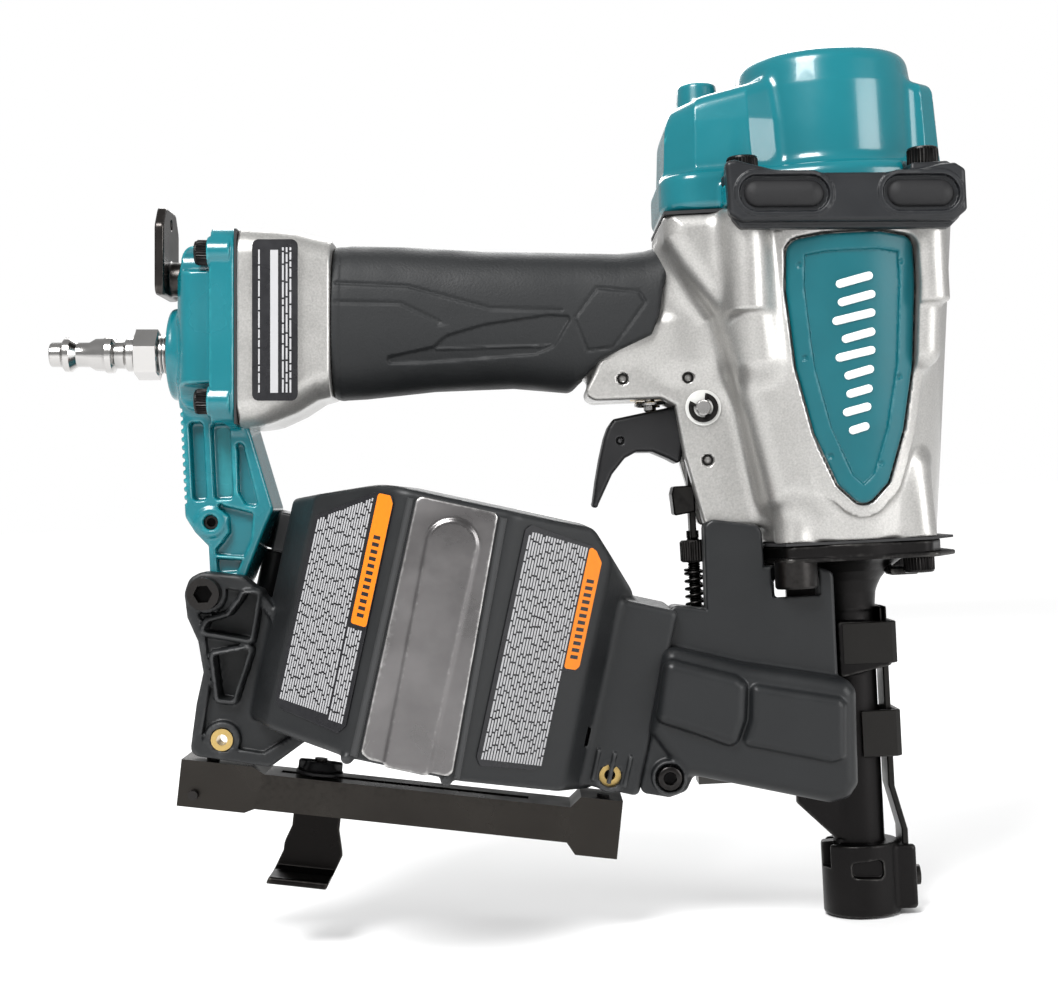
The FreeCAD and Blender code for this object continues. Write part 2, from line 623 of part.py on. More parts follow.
# --- air plug, turned along its own Z and screwed into the boss ----------------------------------
hex_start = 3.9
hex_end = hex_start + 8
air_way = 2.6
tip = s.plug_tip_radius
plug_at = (boss_end, 0, -s.port_drop)
plug_thread = s.port_radius - s.run_gap
plug = turned([
    (air_way, -12), (plug_thread, -12), (plug_thread, 1.5), (5.6, 1.5), (5.6, 4), (air_way, 4)],
    plug_at, "-X", handle)
plug_hex = cut(
    hexagon((boss_end - hex_start, 0, -s.port_drop), "-X", s.hex_flat, hex_end - hex_start, handle),
    rod(plug_at, "-X", air_way, 30, handle))
plug_nose = turned([
    (air_way, hex_end - 0.01), (5.4, hex_end - 0.01), (5.4, hex_end + 2.4), (4.4, hex_end + 3.5),
    (4.4, hex_end + 6.2), (5.9, hex_end + 7), (5.9, hex_end + 9.2), (5.2, hex_end + 10),
    (5.2, hex_end + 12.6), (tip, hex_end + 14.6), (tip, hex_end + 18.5), (5.5, hex_end + 20.5),
    (5.5, hex_end + 22.4), (tip, hex_end + 23.4), (tip, s.plug_length), (air_way, s.plug_length)],
    plug_at, "-X", handle)
node("air_plug", fuse(plug, plug_hex, plug_nose))

# --- belt hook: a bent plate that swivels on one screw -------------------------------------------
hook_low = 8
hook_high = s.flare_up + 8
hook_back = body_end - s.hook_gap - s.hook_thick
hook_face = box((hook_back, hook_back + s.hook_thick), (-s.hook_width / 2, s.hook_width / 2),
                (hook_low, hook_high), handle)
hook_boss = rod((body_end - 0.1, 0, hook_pivot_z), "-X", 5.5, s.hook_gap, handle)
node("belt_hook", cut(fuse(hook_face, hook_boss),
                      rod((body_end + 2, 0, hook_pivot_z), "-X", 2.0 + s.run_gap, 20, handle),
                      rod((body_end + 2, 0, hook_high - 4.5), "-X", 1.8, 20, handle)))
hook_screw = cap_screw((hook_back - 0.1, 0, hook_pivot_z), "X", 2.0, 15, handle)
node("handle_screws", fuse(*end_cap_screws, hook_screw))

# --- trigger valve -------------------------------------------------------------------------------
valve_tall = 20
node("trigger_valve", cut(
    rod((-s.valve_back, 0, valve_seat_z), "Z", s.valve_radius, valve_tall),
    rod((-s.valve_back, 0, valve_seat_z - 1), "Z", s.stem_radius + s.run_gap, valve_tall + 2)))
stem_low = pin_z + 0.2
node("valve_stem", rod((-s.valve_back, 0, stem_low), "Z", s.stem_radius, valve_tall - 2))
spring_height = 1.1
node("valve_spring", tube((-s.valve_back, 0, valve_seat_z - spring_height - 0.1), "Z", 4.4, 3.2,
                          spring_height))

# --- trigger, its lever, pin and clip ------------------------------------------------------------
trigger_half = s.trigger_width / 2
tx = -s.trigger_pin_back
trigger_blade = slab([
    (tx - 28.4, pin_z - 5.4), (tx - 25, pin_z - 2.6), (tx - 6, pin_z + 3.6), (tx + 3.6, pin_z + 3.6),
    (tx + 3.6, pin_z - 4), (tx - 7.6, pin_z - 15.8), (tx - 12, pin_z - 16.6), (tx - 20, pin_z - 15.8),
    (tx - 25, pin_z - 19), (tx - 29.5, pin_z - 26), (tx - 32.6, pin_z - 29.6),
    (tx - 34.8, pin_z - 28.4), (tx - 31.5, pin_z - 18), (tx - 29.6, pin_z - 10)],
    (-trigger_half, trigger_half))
trigger_room = slab([
    (tx - 24, pin_z - 7.5), (tx - 20, pin_z + 9), (tx + 8, pin_z + 9), (tx + 8, pin_z - 20),
    (tx - 5.5, pin_z - 20), (tx - 9.5, pin_z - 10.5)], (-trigger_half + 2, trigger_half - 2))
node("trigger", cut(trigger_blade, trigger_room,
                    rod((tx, -20, pin_z), "Y", s.trigger_pin_radius + s.run_gap, 40)))
node("trigger_lever", slab([
    (tx - 20.5, pin_z - 3.4), (tx - 17.6, pin_z - 0.2), (tx - 8, pin_z - 0.2), (tx - 4.5, pin_z - 5.5),
    (tx - 1, pin_z - 5.5), (tx - 1, pin_z - 7.4), (tx - 4, pin_z - 8), (tx - 17, pin_z - 4.5)],
    (-trigger_half + 2.4, trigger_half - 2.4)))
pin_length = s.web_width + 4
node("trigger_pin", rod((tx, -pin_length / 2, pin_z), "Y", s.trigger_pin_radius, pin_length))
node("pin_clip", tube((tx, -web_half - 0.05, pin_z), "-Y", 4.6, s.trigger_pin_radius + 0.05, 1.2))
node("roll_pins", fuse(*[
    rod((x, -web_half + 0.3, z), "Y", roll_pin_radius, s.web_width - 0.6)
    for x, z in roll_pin_spots]))

# --- nose: flange and drive guide in one steel piece, gasket and four screws ---------------------
nose_tip = s.contact_travel + 1.5
flange_high = housing_z - 0.8
flange_low = flange_high - s.flange_thick
flange_plan = [(-28, -16), (-23, -29), (23, -29), (32, -16), (32, 16), (23, 29), (-23, 29), (-28, 16)]
flange = slab(flange_plan, (flange_low, flange_high), "XY")
flange_holes = screw_holes(flange_spots, flange_low - 1, flange_high + 1, flange_screw_radius)
guide = rod((0, 0, nose_tip), "Z", s.nose_radius, flange_low - nose_tip + 1)
blend = cone((0, 0, flange_low - 12), "Z", s.nose_radius, 17, 12.2)
feed_low = 42
feed_high = 104
rib_low = s.foot_height + 1.3
rib_far, rib_near = -5.5, -1.6
nose_rib = slab([(-20, rib_low + 12), (-20, feed_high), (-6, feed_high + 6), (-6, rib_low),
                 (-8, rib_low)], (rib_far, rib_near))
side_slot = box((-s.nose_radius - 1, 0), (-1.6, 1.6 + s.nose_radius), (46, feed_high - 6))
nose_bore = rod((0, 0, nose_tip - 1), "Z", s.nail_bore, housing_z - nose_tip + 5)
door_low = feed_low
door_high = 82
door_near = s.strip_channel
door_far = door_near + s.door_thick
door_hinge_x = 3.5
door_hinge_y = s.nose_radius + 6.2
ears = [box((0, door_hinge_x + 2.5), (s.nose_radius - 2.5, door_hinge_y + 3), span)
        for span in ((door_low, door_low + 7.8), (door_high - 7.8, door_high))]
ear_bore = rod((door_hinge_x, door_hinge_y, door_low - 1), "Z", 1.5 + hole_gap, 60)
node("nose", cut(fuse(flange, guide, blend, nose_rib, *ears), nose_bore, side_slot,
                 ear_bore, *flange_holes))
nose_gasket = cut(
    slab([(x * 0.98, y * 0.98) for x, y in flange_plan], (flange_high + 0.02, housing_z - 0.02), "XY"),
    rod((0, 0, flange_high - 1), "Z", s.driver_radius + 5, 4),
    *screw_holes(flange_spots, flange_high - 1, housing_z + 1, flange_screw_radius))
node("nose_screws", fuse(*[
    cap_screw((x, y, flange_low), "Z", flange_screw_radius, 15) for x, y in flange_spots]))

node("gaskets", fuse(cap_gasket, nose_gasket, end_cap_seal))

# --- contact foot, contact arm, depth dial and spring --------------------------------------------
foot_bore = s.nose_radius + s.run_gap
foot_block = box((6, s.foot_radius + 4.3), (-6, 6), (1, 20))
node("contact_foot", cut(
    fuse(tube((0, 0, 0), "Z", s.foot_radius, s.nose_radius - 2.2, s.foot_height), foot_block),
    rod((0, 0, 1.2), "Z", foot_bore, s.foot_height),
    box((-s.foot_radius - 1, -5), (rib_far - 0.5, rib_near + 0.5),
        (rib_low - s.contact_travel - 0.6, s.foot_height + 1)),
    rod((s.foot_radius + 6, 0, 10.5), "-X", 2.0 + hole_gap, 8),
    rod((s.foot_radius + 2.3, 0, 10.5), "X", 3.6, 8),
    box((s.foot_radius + 0.3, s.foot_radius + 0.35 + s.strip_thick),
        (-s.strip_width / 2 - hole_gap, s.strip_width / 2 + hole_gap), (4, 30))))
strip_x = s.foot_radius + 0.35
arm_plate_low = 86
arm_plate_high = 97
tongue_x = -s.trigger_pin_back - 5
front_strip = box((strip_x, strip_x + s.strip_thick), (-s.strip_width / 2, s.strip_width / 2),
                  (4.1, arm_plate_high))
wrap = box((strip_x, strip_x + s.strip_thick), (-s.strip_width / 2, s.side_plate_y + s.strip_thick),
           (arm_plate_low, arm_plate_high))
side_plate = box((tongue_x, strip_x + s.strip_thick),
                 (s.side_plate_y, s.side_plate_y + s.strip_thick), (arm_plate_low, arm_plate_high))
rear_plate = box((tongue_x, tongue_x + s.strip_thick), (-4, s.side_plate_y + s.strip_thick),
                 (arm_plate_low, arm_plate_high))
dial_z = housing_z - 5
dial_height = 7
dial_x = tongue_x + s.strip_thick / 2
stud_low = arm_plate_high - 4
stud_high = dial_z + dial_height + 3
tongue = box((tongue_x, tongue_x + s.strip_thick), (-4, 4), (stud_high - 2, pin_z - 17))
dial_stud = rod((dial_x, 0, stud_low), "Z", 2.0, stud_high - stud_low)
node("contact_arm", cut(fuse(front_strip, wrap, side_plate, rear_plate, tongue, dial_stud),
                        rod((strip_x - 5, 0, 10.5), "X", 2.05, 12)))
node("foot_screw", cap_screw((strip_x + s.strip_thick + 0.05, 0, 10.5), "-X", 1.95, 3.6))
node("depth_dial", tube((dial_x, 0, dial_z), "Z", 4.4, 2.0 + s.run_gap, dial_height))
node("contact_spring", tube((dial_x, 0, arm_plate_high + 0.6), "Z", 3.4, 2.4, dial_z - arm_plate_high - 2))

# --- magazine body: the fixed near half of the canister, with neck and rear bracket --------------


def drum_plan(side, wall):
    """Half of the canister's plan, from its parting plane out to its side, less a wall."""
    front = s.drum_front - wall
    rear = s.drum_rear - wall
    out = (s.drum_side - wall) * side
    knee = s.drum_side * 0.62 - wall * 0.75
    near = s.drum_side * 0.28 - wall * 0.5
    flat = s.drum_flat - wall * 0.3
    part = s.seat_gap / 2 * side if wall == 0 else as_size(-1) * side
    plan = [(-rear, part), (-rear, near * side), (-rear + 9, knee * side), (-flat, out),
            (flat, out), (front - 10, knee * side), (front, near * side), (front, part)]
    return plan if side > 0 else plan[::-1]


slope_from = -21
slope_drop = 25
neck_low = -s.drum_low + 2
neck_high = s.drum_high - 19.5
beyond = 90


def above_rear_slope(high):
    """Everything over the canister's sloping rear roof, which starts at the given height."""
    return slab([(-beyond, high - slope_drop), (slope_from, high + 0.5),
                 (slope_from, high + 30), (-beyond, high + 30)], (-beyond, beyond), "XZ", magazine)


def above_front_slope(start, end, high, low):
    """Everything over the short slope that runs down to the neck."""
    far = s.drum_front + 40
    return slab([(start, high), (end, low), (far, low), (far, high + 30), (start, high + 30)],
                (-beyond, beyond), "XZ", magazine)


wedge = above_rear_slope(s.drum_high)
front_wedge = above_front_slope(s.drum_front - 18, s.drum_front + 2, s.drum_high + 0.5, neck_high)
front_roof = above_front_slope(s.drum_front - 18, s.drum_front - 1, s.drum_high - s.drum_wall - 1,
                               neck_high - s.drum_wall)


def canister_half(side):
    """The shell, the room inside and the nail-strip neck of half a canister."""
    shell = slab(drum_plan(side, 0), (-s.drum_low, s.drum_high), "XY", magazine)
    room = slab(drum_plan(side, s.drum_wall),
                (-s.drum_low + s.drum_wall, s.drum_high - s.drum_wall), "XY", magazine)
    hollow = cut(room, above_rear_slope(s.drum_high - s.drum_wall), front_roof)
    low, high = (s.strip_channel, s.neck_width) if side > 0 else (-s.neck_width, -s.strip_channel)
    neck = box((s.drum_front - 12, s.neck_reach), (low, high), (neck_low, neck_high), magazine)
    half_throat = s.strip_channel + hole_gap
    throat = box((s.drum_front - 6, s.neck_reach + 5), (-half_throat, half_throat),
                 (neck_low + 2, neck_high - 2), magazine)
    return shell, neck, hollow, throat


hinge_u = -s.drum_rear - s.hinge_radius - 1.5
hinge_y = arm_half + 1.0
bracket_low_z = s.mag_z - 39
near_face = -s.bracket_face
rail_x = bolt_x - 11.5
rail_z = bracket_low_z - 4.5
rail = Frame(rail_x, rail_z, s.rail_tilt)
rail_low_y = near_face + 1
rail_high_y = rail_low_y + s.rail_width
half_rail = s.rail_height / 2
rail_end = s.rail_length
rail_side = [
    (0, -half_rail - 1.5), (0, half_rail + 2), (22, half_rail + 2), (26, half_rail),
    (rail_end - 16, half_rail), (rail_end - 13, half_rail + 3.5), (rail_end, half_rail + 3.5),
    (rail_end, -half_rail - 3.5), (rail_end - 13, -half_rail - 3.5), (rail_end - 16, -half_rail),
    (24, -half_rail), (21, -half_rail - 1.5)]
rail_screw_y = near_face + 6.4
rail_screw_us = [9, rail_end - 6]
rail_seat = half_rail - s.rail_sheet
rail_screw_holes = [rod((u, rail_screw_y, -10), "Z", 2.0 + hole_gap, 30, rail)
                    for u in rail_screw_us]
mount_trim = slab(rail_side, (rail_low_y - 5, rail_high_y + 5), "XZ", rail)
near_shell, near_neck, near_hollow, near_throat = canister_half(-1)
bracket_plate = slab([
    (bolt_x - 5, bolt_z + 6), (bolt_x + 6, bolt_z + 6), (bolt_x + 26, bolt_z + 14),
    (bolt_x + 28, bolt_z - 30), (bolt_x + 14, bracket_low_z - 3), (bolt_x - 6, bracket_low_z - 1),
    (bolt_x - 6, bracket_low_z + 8), (bolt_x - 2, bolt_z - 33), (bolt_x - 7, bolt_z - 14)],
    (near_face, near_face + s.bracket_face - arm_half - s.seat_gap))
bracket_window = slab([
    (bolt_x + 6, bolt_z - 8), (bolt_x + 15, bolt_z - 8), (bolt_x + 15, bolt_z - 26),
    (bolt_x + 5, bolt_z - 26)], (near_face - 1, near_face + 5))
insert_spots = [(bolt_x + 2.6, bracket_low_z + 8.3), (-s.mag_back + 51.5, s.mag_z - 47.5)]
insert_depth = 8
insert_bores = [rod((x, near_face - 1, z), "Y", s.insert_radius + hole_gap, insert_depth + 1)
                for x, z in insert_spots]
lug_x, lug_z = insert_spots[1]
insert_reach = box((lug_x - 6.5, lug_x + 6.5), (-s.neck_width - 1, near_face),
                   (lug_z - 6, lug_z + 6))
front_lug = slab([
    (lug_x - 5.5, lug_z - 10), (lug_x + 5, lug_z - 10), (lug_x + 10, lug_z + 14),
    (lug_x - 10, lug_z + 14)], (near_face, -s.strip_channel - 1))
bolt_hole = rod((bolt_x, near_face - 1, bolt_z), "Y", s.bolt_radius + hole_gap, 60)


def knuckles(spans, frame=magazine):
    return [rod((hinge_u, hinge_y, low), "Z", s.hinge_radius, high - low, frame) for low, high in spans]


near_spans = [(-22, -12), (12, 20)]
far_spans = [(-11.7, 11.7)]
near_ties = []
for low, high in near_spans:
    near_ties.append(box((hinge_u, -s.drum_rear - 0.3), (-8, hinge_y), (low, high), magazine))
    near_ties.append(box((hinge_u, -s.drum_rear + 2), (-8, -0.1), (low, high), magazine))
far_ties = [
    box((hinge_u, -s.drum_rear + 2), (hinge_y - 1, hinge_y + s.hinge_radius), (low, high), magazine)
    for low, high in far_spans]
hinge_bore = rod((hinge_u, hinge_y, -40), "Z", s.hinge_pin_radius + s.run_gap, 80, magazine)
knuckle_relief = box((hinge_u - 8, -s.drum_rear - 0.1), (-9, hinge_y + 6), (-11.9, 11.9), magazine)
near_solid = cut(fuse(near_shell, near_neck), wedge, front_wedge, near_hollow, near_throat,
                 insert_reach)
near_bracket = cut(fuse(bracket_plate, front_lug), bracket_window, near_hollow)
node("magazine_body", cut(
    fuse(near_solid, near_bracket, *near_ties, *knuckles(near_spans)),
    hinge_bore, knuckle_relief, bolt_hole, mount_trim, *rail_screw_holes, *insert_bores))
node("bracket_bolt", cap_screw((bolt_x, near_face - 0.05, bolt_z), "Y", s.bolt_radius, 40))
node("threaded_inserts", fuse(*[
    tube((x, near_face + insert_depth - 0.1, z), "-Y", s.insert_radius, s.insert_hole,
         insert_depth) for x, z in insert_spots]))

# --- magazine cover: the far half, hinged at the rear --------------------------------------------
far_shell, far_neck, far_hollow, far_throat = canister_half(1)
far_solid = cut(fuse(far_shell, far_neck), wedge, front_wedge, far_hollow, far_throat)
far_knuckle_relief = [
    box((hinge_u - 8, -s.drum_rear - 0.1), (-9, hinge_y + 6), (low - 0.3, high + 0.3), magazine)
    for low, high in near_spans]
node("magazine_cover", cut(fuse(far_solid, *far_ties, *knuckles(far_spans)),
                           hinge_bore, *far_knuckle_relief))
node("magazine_hinge_pin", rod((hinge_u, hinge_y, -22.5), "Z", s.hinge_pin_radius, 43, magazine))

# --- coil tray on its post, wear plate and labels ------------------------------------------------
tray_w = -s.drum_low + s.drum_wall + 4
post_top = s.drum_high - s.drum_wall - 3
node("coil_post", tube((0, 0, -s.drum_low + s.drum_wall + 0.1), "Z", s.post_radius,
                       s.post_radius - 2, post_top + s.drum_low - s.drum_wall, magazine))
tray_grip = s.post_radius + s.run_gap
hub_height = s.tray_travel + 2
node("coil_tray", turned([
    (tray_grip, 0), (s.tray_radius, 0), (s.tray_radius, 2.4), (tray_grip + 3, 2.4),
    (tray_grip + 3, hub_height), (tray_grip, hub_height)], (0, 0, tray_w), "Z", magazine))
strap_half = s.strap_width / 2
node("wear_plate", slab([
    (-strap_half, -s.drum_low + 1), (strap_half - 4, -s.drum_low + 1),
    (strap_half + 1, s.drum_high - 1), (-strap_half, s.drum_high - 1)],
    (-s.drum_side - 1.2, -s.drum_side - 0.05), "XZ", magazine))


def side_label(points, rear):
    """A thin label lying on one of the canister's slanted faces."""
    reach = (s.drum_rear - 9 if rear else s.drum_front - 10) - s.drum_flat
    rise = s.drum_side * 0.38
    length = Size(math.hypot(reach.value, rise.value),
                  f"sqrt(({reach.formula})^2 + ({rise.formula})^2)")
    angle = math.degrees(math.atan2(rise.value, reach.value))
    body = slab(points(length), (-0.75, -0.05))
    start_x = -s.drum_rear + 9 if rear else s.drum_flat
    start_y = -s.drum_side * 0.62 if rear else -s.drum_side
    x, z = magazine.at(start_x, 0)
    turn = Rotation(Vector(0, 1, 0), s.mag_tilt.value)
    turn = turn.multiply(Rotation(Vector(0, 0, 1), -angle if rear else angle))
    body.Placement = Placement(Vector(x.value, start_y.value, z.value), turn)
    bind(body, "Placement.Base.x", x)
    bind(body, "Placement.Base.y", start_y)
    bind(body, "Placement.Base.z", z)
    return body


def rear_points(length):
    return [(1, -33), (length - 2, -33), (length - 2, 36), (length - 4, 37), (1, 26)]


def front_points(length):
    return [(3, -35), (length - 2, -35), (length - 2, 36), (3, 36)]


node("labels", fuse(side_label(rear_points, True), side_label(front_points, False)))

# --- feed: cover, cylinder, piston with pawl, spring, screw --------------------------------------
cylinder_rear = -57
cylinder_front = -26
piston_at = cylinder_rear + 5 + s.feed_travel
cover_room_front = piston_at + 33.8
feed_front = cover_room_front + 2.7
cover_rear_high = magazine.at(s.neck_reach + 0.4, neck_high)
cover_rear_low = magazine.at(s.neck_reach + 0.4, neck_low - 1)
cover_plan = [
    cover_rear_high, (-47, 100), (-46.5, housing_z + 6), (-25.5, housing_z + 5), (-25.5, 100.5),
    (-7.5, 100.5), (-7.5, 78), (feed_front, 76), (feed_front, 40.6), (-52, 46), cover_rear_low]
cover_outer = slab(cover_plan, (-s.feed_face, -6.2))
tower_face = -19
shelf_z = 90
cover_wall = 2.4
tower_trim = box((-60, 0), (-s.feed_face - 1, tower_face), (shelf_z, housing_z + 10))
barrel_trim = rod((0, 0, flange_high), "Z", s.barrel_foot_radius + 2.5, 40)
flange_trim = box((-29, 33), (-30, 30), (flange_low - 0.5, housing_z + 10))
guide_trim = rod((0, 0, 20), "Z", s.nose_radius + s.seat_gap, 100)
blend_trim = cone((0, 0, flange_low - 12.2), "Z", s.nose_radius + 0.3, 17.4, 12.4)
web_trim = box((-60, -20), (-web_half - 0.6, 0), (housing_z - 1, housing_z + 20))
cover_room = slab([
    (-60, shelf_z - cover_wall), (-10, shelf_z - cover_wall), (-10, 80), (cover_room_front, 80),
    (cover_room_front, 46.5), (-50, 50), (-63, 52)], (-s.feed_face + cover_wall, -5))
tower_room = slab([
    (-56, shelf_z - cover_wall - 1), (-44, 98), (-44, housing_z + 3), (-32, housing_z + 3), (-32, 97),
    (-10, 97), (-10, shelf_z - cover_wall - 1)], (tower_face + cover_wall, -5))
pocket_head = rod((-flange_x, -flange_y, 90), "Z", flange_screw_radius * 1.65 + 1, 40)
feed_screw_x, feed_screw_z = -61.5, 51.5
feed_hole = rod((feed_screw_x, -s.feed_face - 1, feed_screw_z), "Y", 2.0 + hole_gap, 40)
node("feed_cover", cut(cover_outer, tower_trim, barrel_trim, web_trim, flange_trim, guide_trim,
                       blend_trim, cover_room, tower_room, pocket_head, feed_hole))
node("feed_cover_screw", cap_screw((feed_screw_x, -s.feed_face - 0.05, feed_screw_z), "Y", 2.0, 20))
feed_at = (cylinder_rear, -s.feed_y, s.feed_z)
node("feed_cylinder", turned([
    (0, 0), (s.feed_radius, 0), (s.feed_radius, cylinder_front - cylinder_rear),
    (3 + s.run_gap, cylinder_front - cylinder_rear), (3 + s.run_gap, 28), (s.feed_radius - 1.6, 28),
    (s.feed_radius - 1.6, 3), (0, 3)], feed_at, "X"))
feed_rod = turned([
    (0, 0), (s.feed_radius - 1.6 - s.run_gap, 0), (s.feed_radius - 1.6 - s.run_gap, 5), (3, 5),
    (3, 28), (0, 28)], (piston_at, -s.feed_y, s.feed_z), "X")
pawl_carrier = box((piston_at + 27.5, piston_at + 32.5), (-s.feed_y - 3, -8.5),
                   (s.feed_z - 9, s.feed_z + 9))
node("feed_piston", fuse(feed_rod, pawl_carrier))
node("feed_spring", tube((cylinder_rear + 3.3, -s.feed_y, s.feed_z), "X", 5.2, 4.0, 12))
node("feed_pawl", slab([
    (piston_at + 22, -8.1), (piston_at + 32, -8.1), (piston_at + 32, -6.4), (piston_at + 30, -5.6)],
    (s.feed_z - 8, s.feed_z + 8), "XY"))

# --- door, its hinge pin and latch ---------------------------------------------------------------
door_rear = -50
door_leaf = box((door_rear, -s.nose_radius - 1), (door_near, door_far), (door_low, door_high))
door_lip = box((door_rear, door_hinge_x), (door_far - 1, door_far + 2.2), (door_low, door_high))
door_barrel = rod((door_hinge_x, door_hinge_y, door_low + 8), "Z", 3.4, door_high - door_low - 16)
door_tie = box((-2, door_hinge_x), (door_far - 1, door_far + 2.2), (door_low + 8, door_high - 8))
lip_relief = [box((-3, 12), (0, 30), span)
              for span in ((door_low - 1, door_low + 8.2), (door_high - 8.2, door_high + 1))]
nose_relief = rod((0, 0, door_low - 1), "Z", s.nose_radius + 1.2, 60)
latch_x = -40
latch_face = door_far + 2.5
latch_pin = rod((latch_x, door_near + 2, 70), "Y", 1.5, s.door_thick + 5)
node("feed_door", fuse(
    cut(fuse(door_leaf, door_lip, door_barrel, door_tie), *lip_relief, nose_relief,
        rod((door_hinge_x, door_hinge_y, door_low - 1), "Z", 1.5 + s.run_gap, 60)),
    latch_pin))
node("door_hinge_pin", rod((door_hinge_x, door_hinge_y, door_low - 1), "Z", 1.5,
                           door_high - door_low + 2))
node("door_latch", cut(
    slab([(latch_x - 5, 60), (latch_x + 5, 60), (latch_x + 5, 74), (latch_x, 77), (latch_x - 5, 74)],
         (latch_face, latch_face + 3.5)),
    rod((latch_x, 0, 70), "Y", 1.5 + s.run_gap, 40)))

# --- front guide brackets that keep the contact strip against the nose ---------------------------
strip_gap = 0.3
bracket_bands = [(70, 79), (50, 62)]
bands = []
for low, high in bracket_bands:
    outer_x = strip_x + s.strip_thick + strip_gap + 2
    bands.append(cut(box((6.3, outer_x), (-s.strip_width / 2 - 2.5, s.strip_width / 2 + 1.6),
                         (low, high)),
                     box((strip_x - strip_gap, strip_x + s.strip_thick + strip_gap),
                         (-s.strip_width / 2 - strip_gap, s.strip_width / 2 + strip_gap),
                         (low - 1, high + 1)),
                     rod((0, 0, low - 1), "Z", s.nose_radius + hole_gap, high - low + 2),
                     rod((door_hinge_x, door_hinge_y, low - 1), "Z", 4.2, high - low + 2)))
node("strip_guides", fuse(*bands))

# --- rail under the canister, with the adjustable shingle guide ----------------------------------
rail_bar = slab(rail_side, (rail_low_y, rail_high_y), "XZ", rail)
rail_hollow = box((-1, rail_end + 1), (rail_low_y + s.rail_sheet, rail_high_y - s.rail_sheet),
                  (-20, half_rail - s.rail_sheet), rail)
rail_mid_y = (rail_low_y + rail_high_y) / 2
knob_radius = 2.0
shoe_at = 42
slot_low = shoe_at - 12
slot_high = shoe_at + s.shoe_travel + 4
rail_slot = box((slot_low, slot_high), (rail_mid_y - knob_radius - 0.3, rail_mid_y + knob_radius + 0.3),
                (-2, 20), rail)
rail_pin_bore = rod((5, rail_low_y - 1, -3), "Y", 1.5 + hole_gap, s.rail_width + 2, rail)
node("rail", cut(rail_bar, rail_hollow, rail_slot, rail_pin_bore, *rail_screw_holes))

shoe_low = -26
shoe_half = s.shoe_width / 2
shoe_y = (rail_low_y + s.rail_sheet + 0.4, rail_high_y - s.rail_sheet - 0.4)
shoe_top = half_rail - s.rail_sheet - 0.4
shoe_plate = box((shoe_at - shoe_half, shoe_at + shoe_half), shoe_y, (shoe_top - 2.5, shoe_top), rail)
shoe_drop = slab([
    (shoe_at - shoe_half, shoe_top), (shoe_at + shoe_half, shoe_top), (shoe_at + shoe_half, shoe_low),
    (shoe_at - shoe_half - 4, shoe_low)],
    (rail_high_y - s.rail_sheet - 3, rail_high_y - s.rail_sheet - 0.4),
    "XZ", rail)
shoe_lip = box((shoe_at - shoe_half - 4, shoe_at + shoe_half),
               (shoe_y[0], rail_high_y - s.rail_sheet - 0.4), (shoe_low - 2.5, shoe_low), rail)
stud_top = half_rail + 6
node("shingle_guide", cut(fuse(shoe_plate, shoe_drop, shoe_lip),
                          rod((shoe_at, rail_mid_y, -15), "Z", knob_radius + hole_gap, 30, rail)))
node("guide_stud", fuse(
    rod((shoe_at, rail_mid_y, shoe_top - 2.5 - 0.05), "Z", knob_radius, stud_top - shoe_top + 2, rail),
    rod((shoe_at, rail_mid_y, shoe_top - 2.55), "-Z", 3.6, 2.2, rail)))
node("guide_knob", tube((shoe_at, rail_mid_y, half_rail + 0.4), "Z", 7.5, knob_radius + s.run_gap, 4.5,
                        rail))
node("rail_fasteners", fuse(
    *[cap_screw((u, rail_screw_y, rail_seat - 0.05), "Z", 2.0, 6.5, rail) for u in rail_screw_us],
    rod((5, rail_low_y - 2.5, -3), "Y", 1.5, s.rail_width + 5, rail)))
node("canister_foot", rod((-13, -14, -s.drum_low - 0.05), "-Z", 4, 3.2, magazine))

# --- checks and export ---------------------------------------------------------------------------
doc.recompute()
faults = []
for item in doc.Objects:
    if any(state in ("Invalid", "Error") for state in item.State):
        faults.append(f"{item.Name} ({item.Label}): {item.State}")
for piece in nodes:
    if piece.Shape.isNull():
        faults.append(f"{piece.Label}: no shape")
    elif not piece.Shape.isValid():
        faults.append(f"{piece.Label}: shape not valid")
if faults:
    raise RuntimeError("\n".join(faults))
for piece in nodes:
    piece.Shape.exportStep(f"parts/{piece.Label}.step")
print(len(nodes), "nodes written")
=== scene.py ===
import bpy
import bmesh
import math
import numpy as np
from mathutils import Matrix, Vector


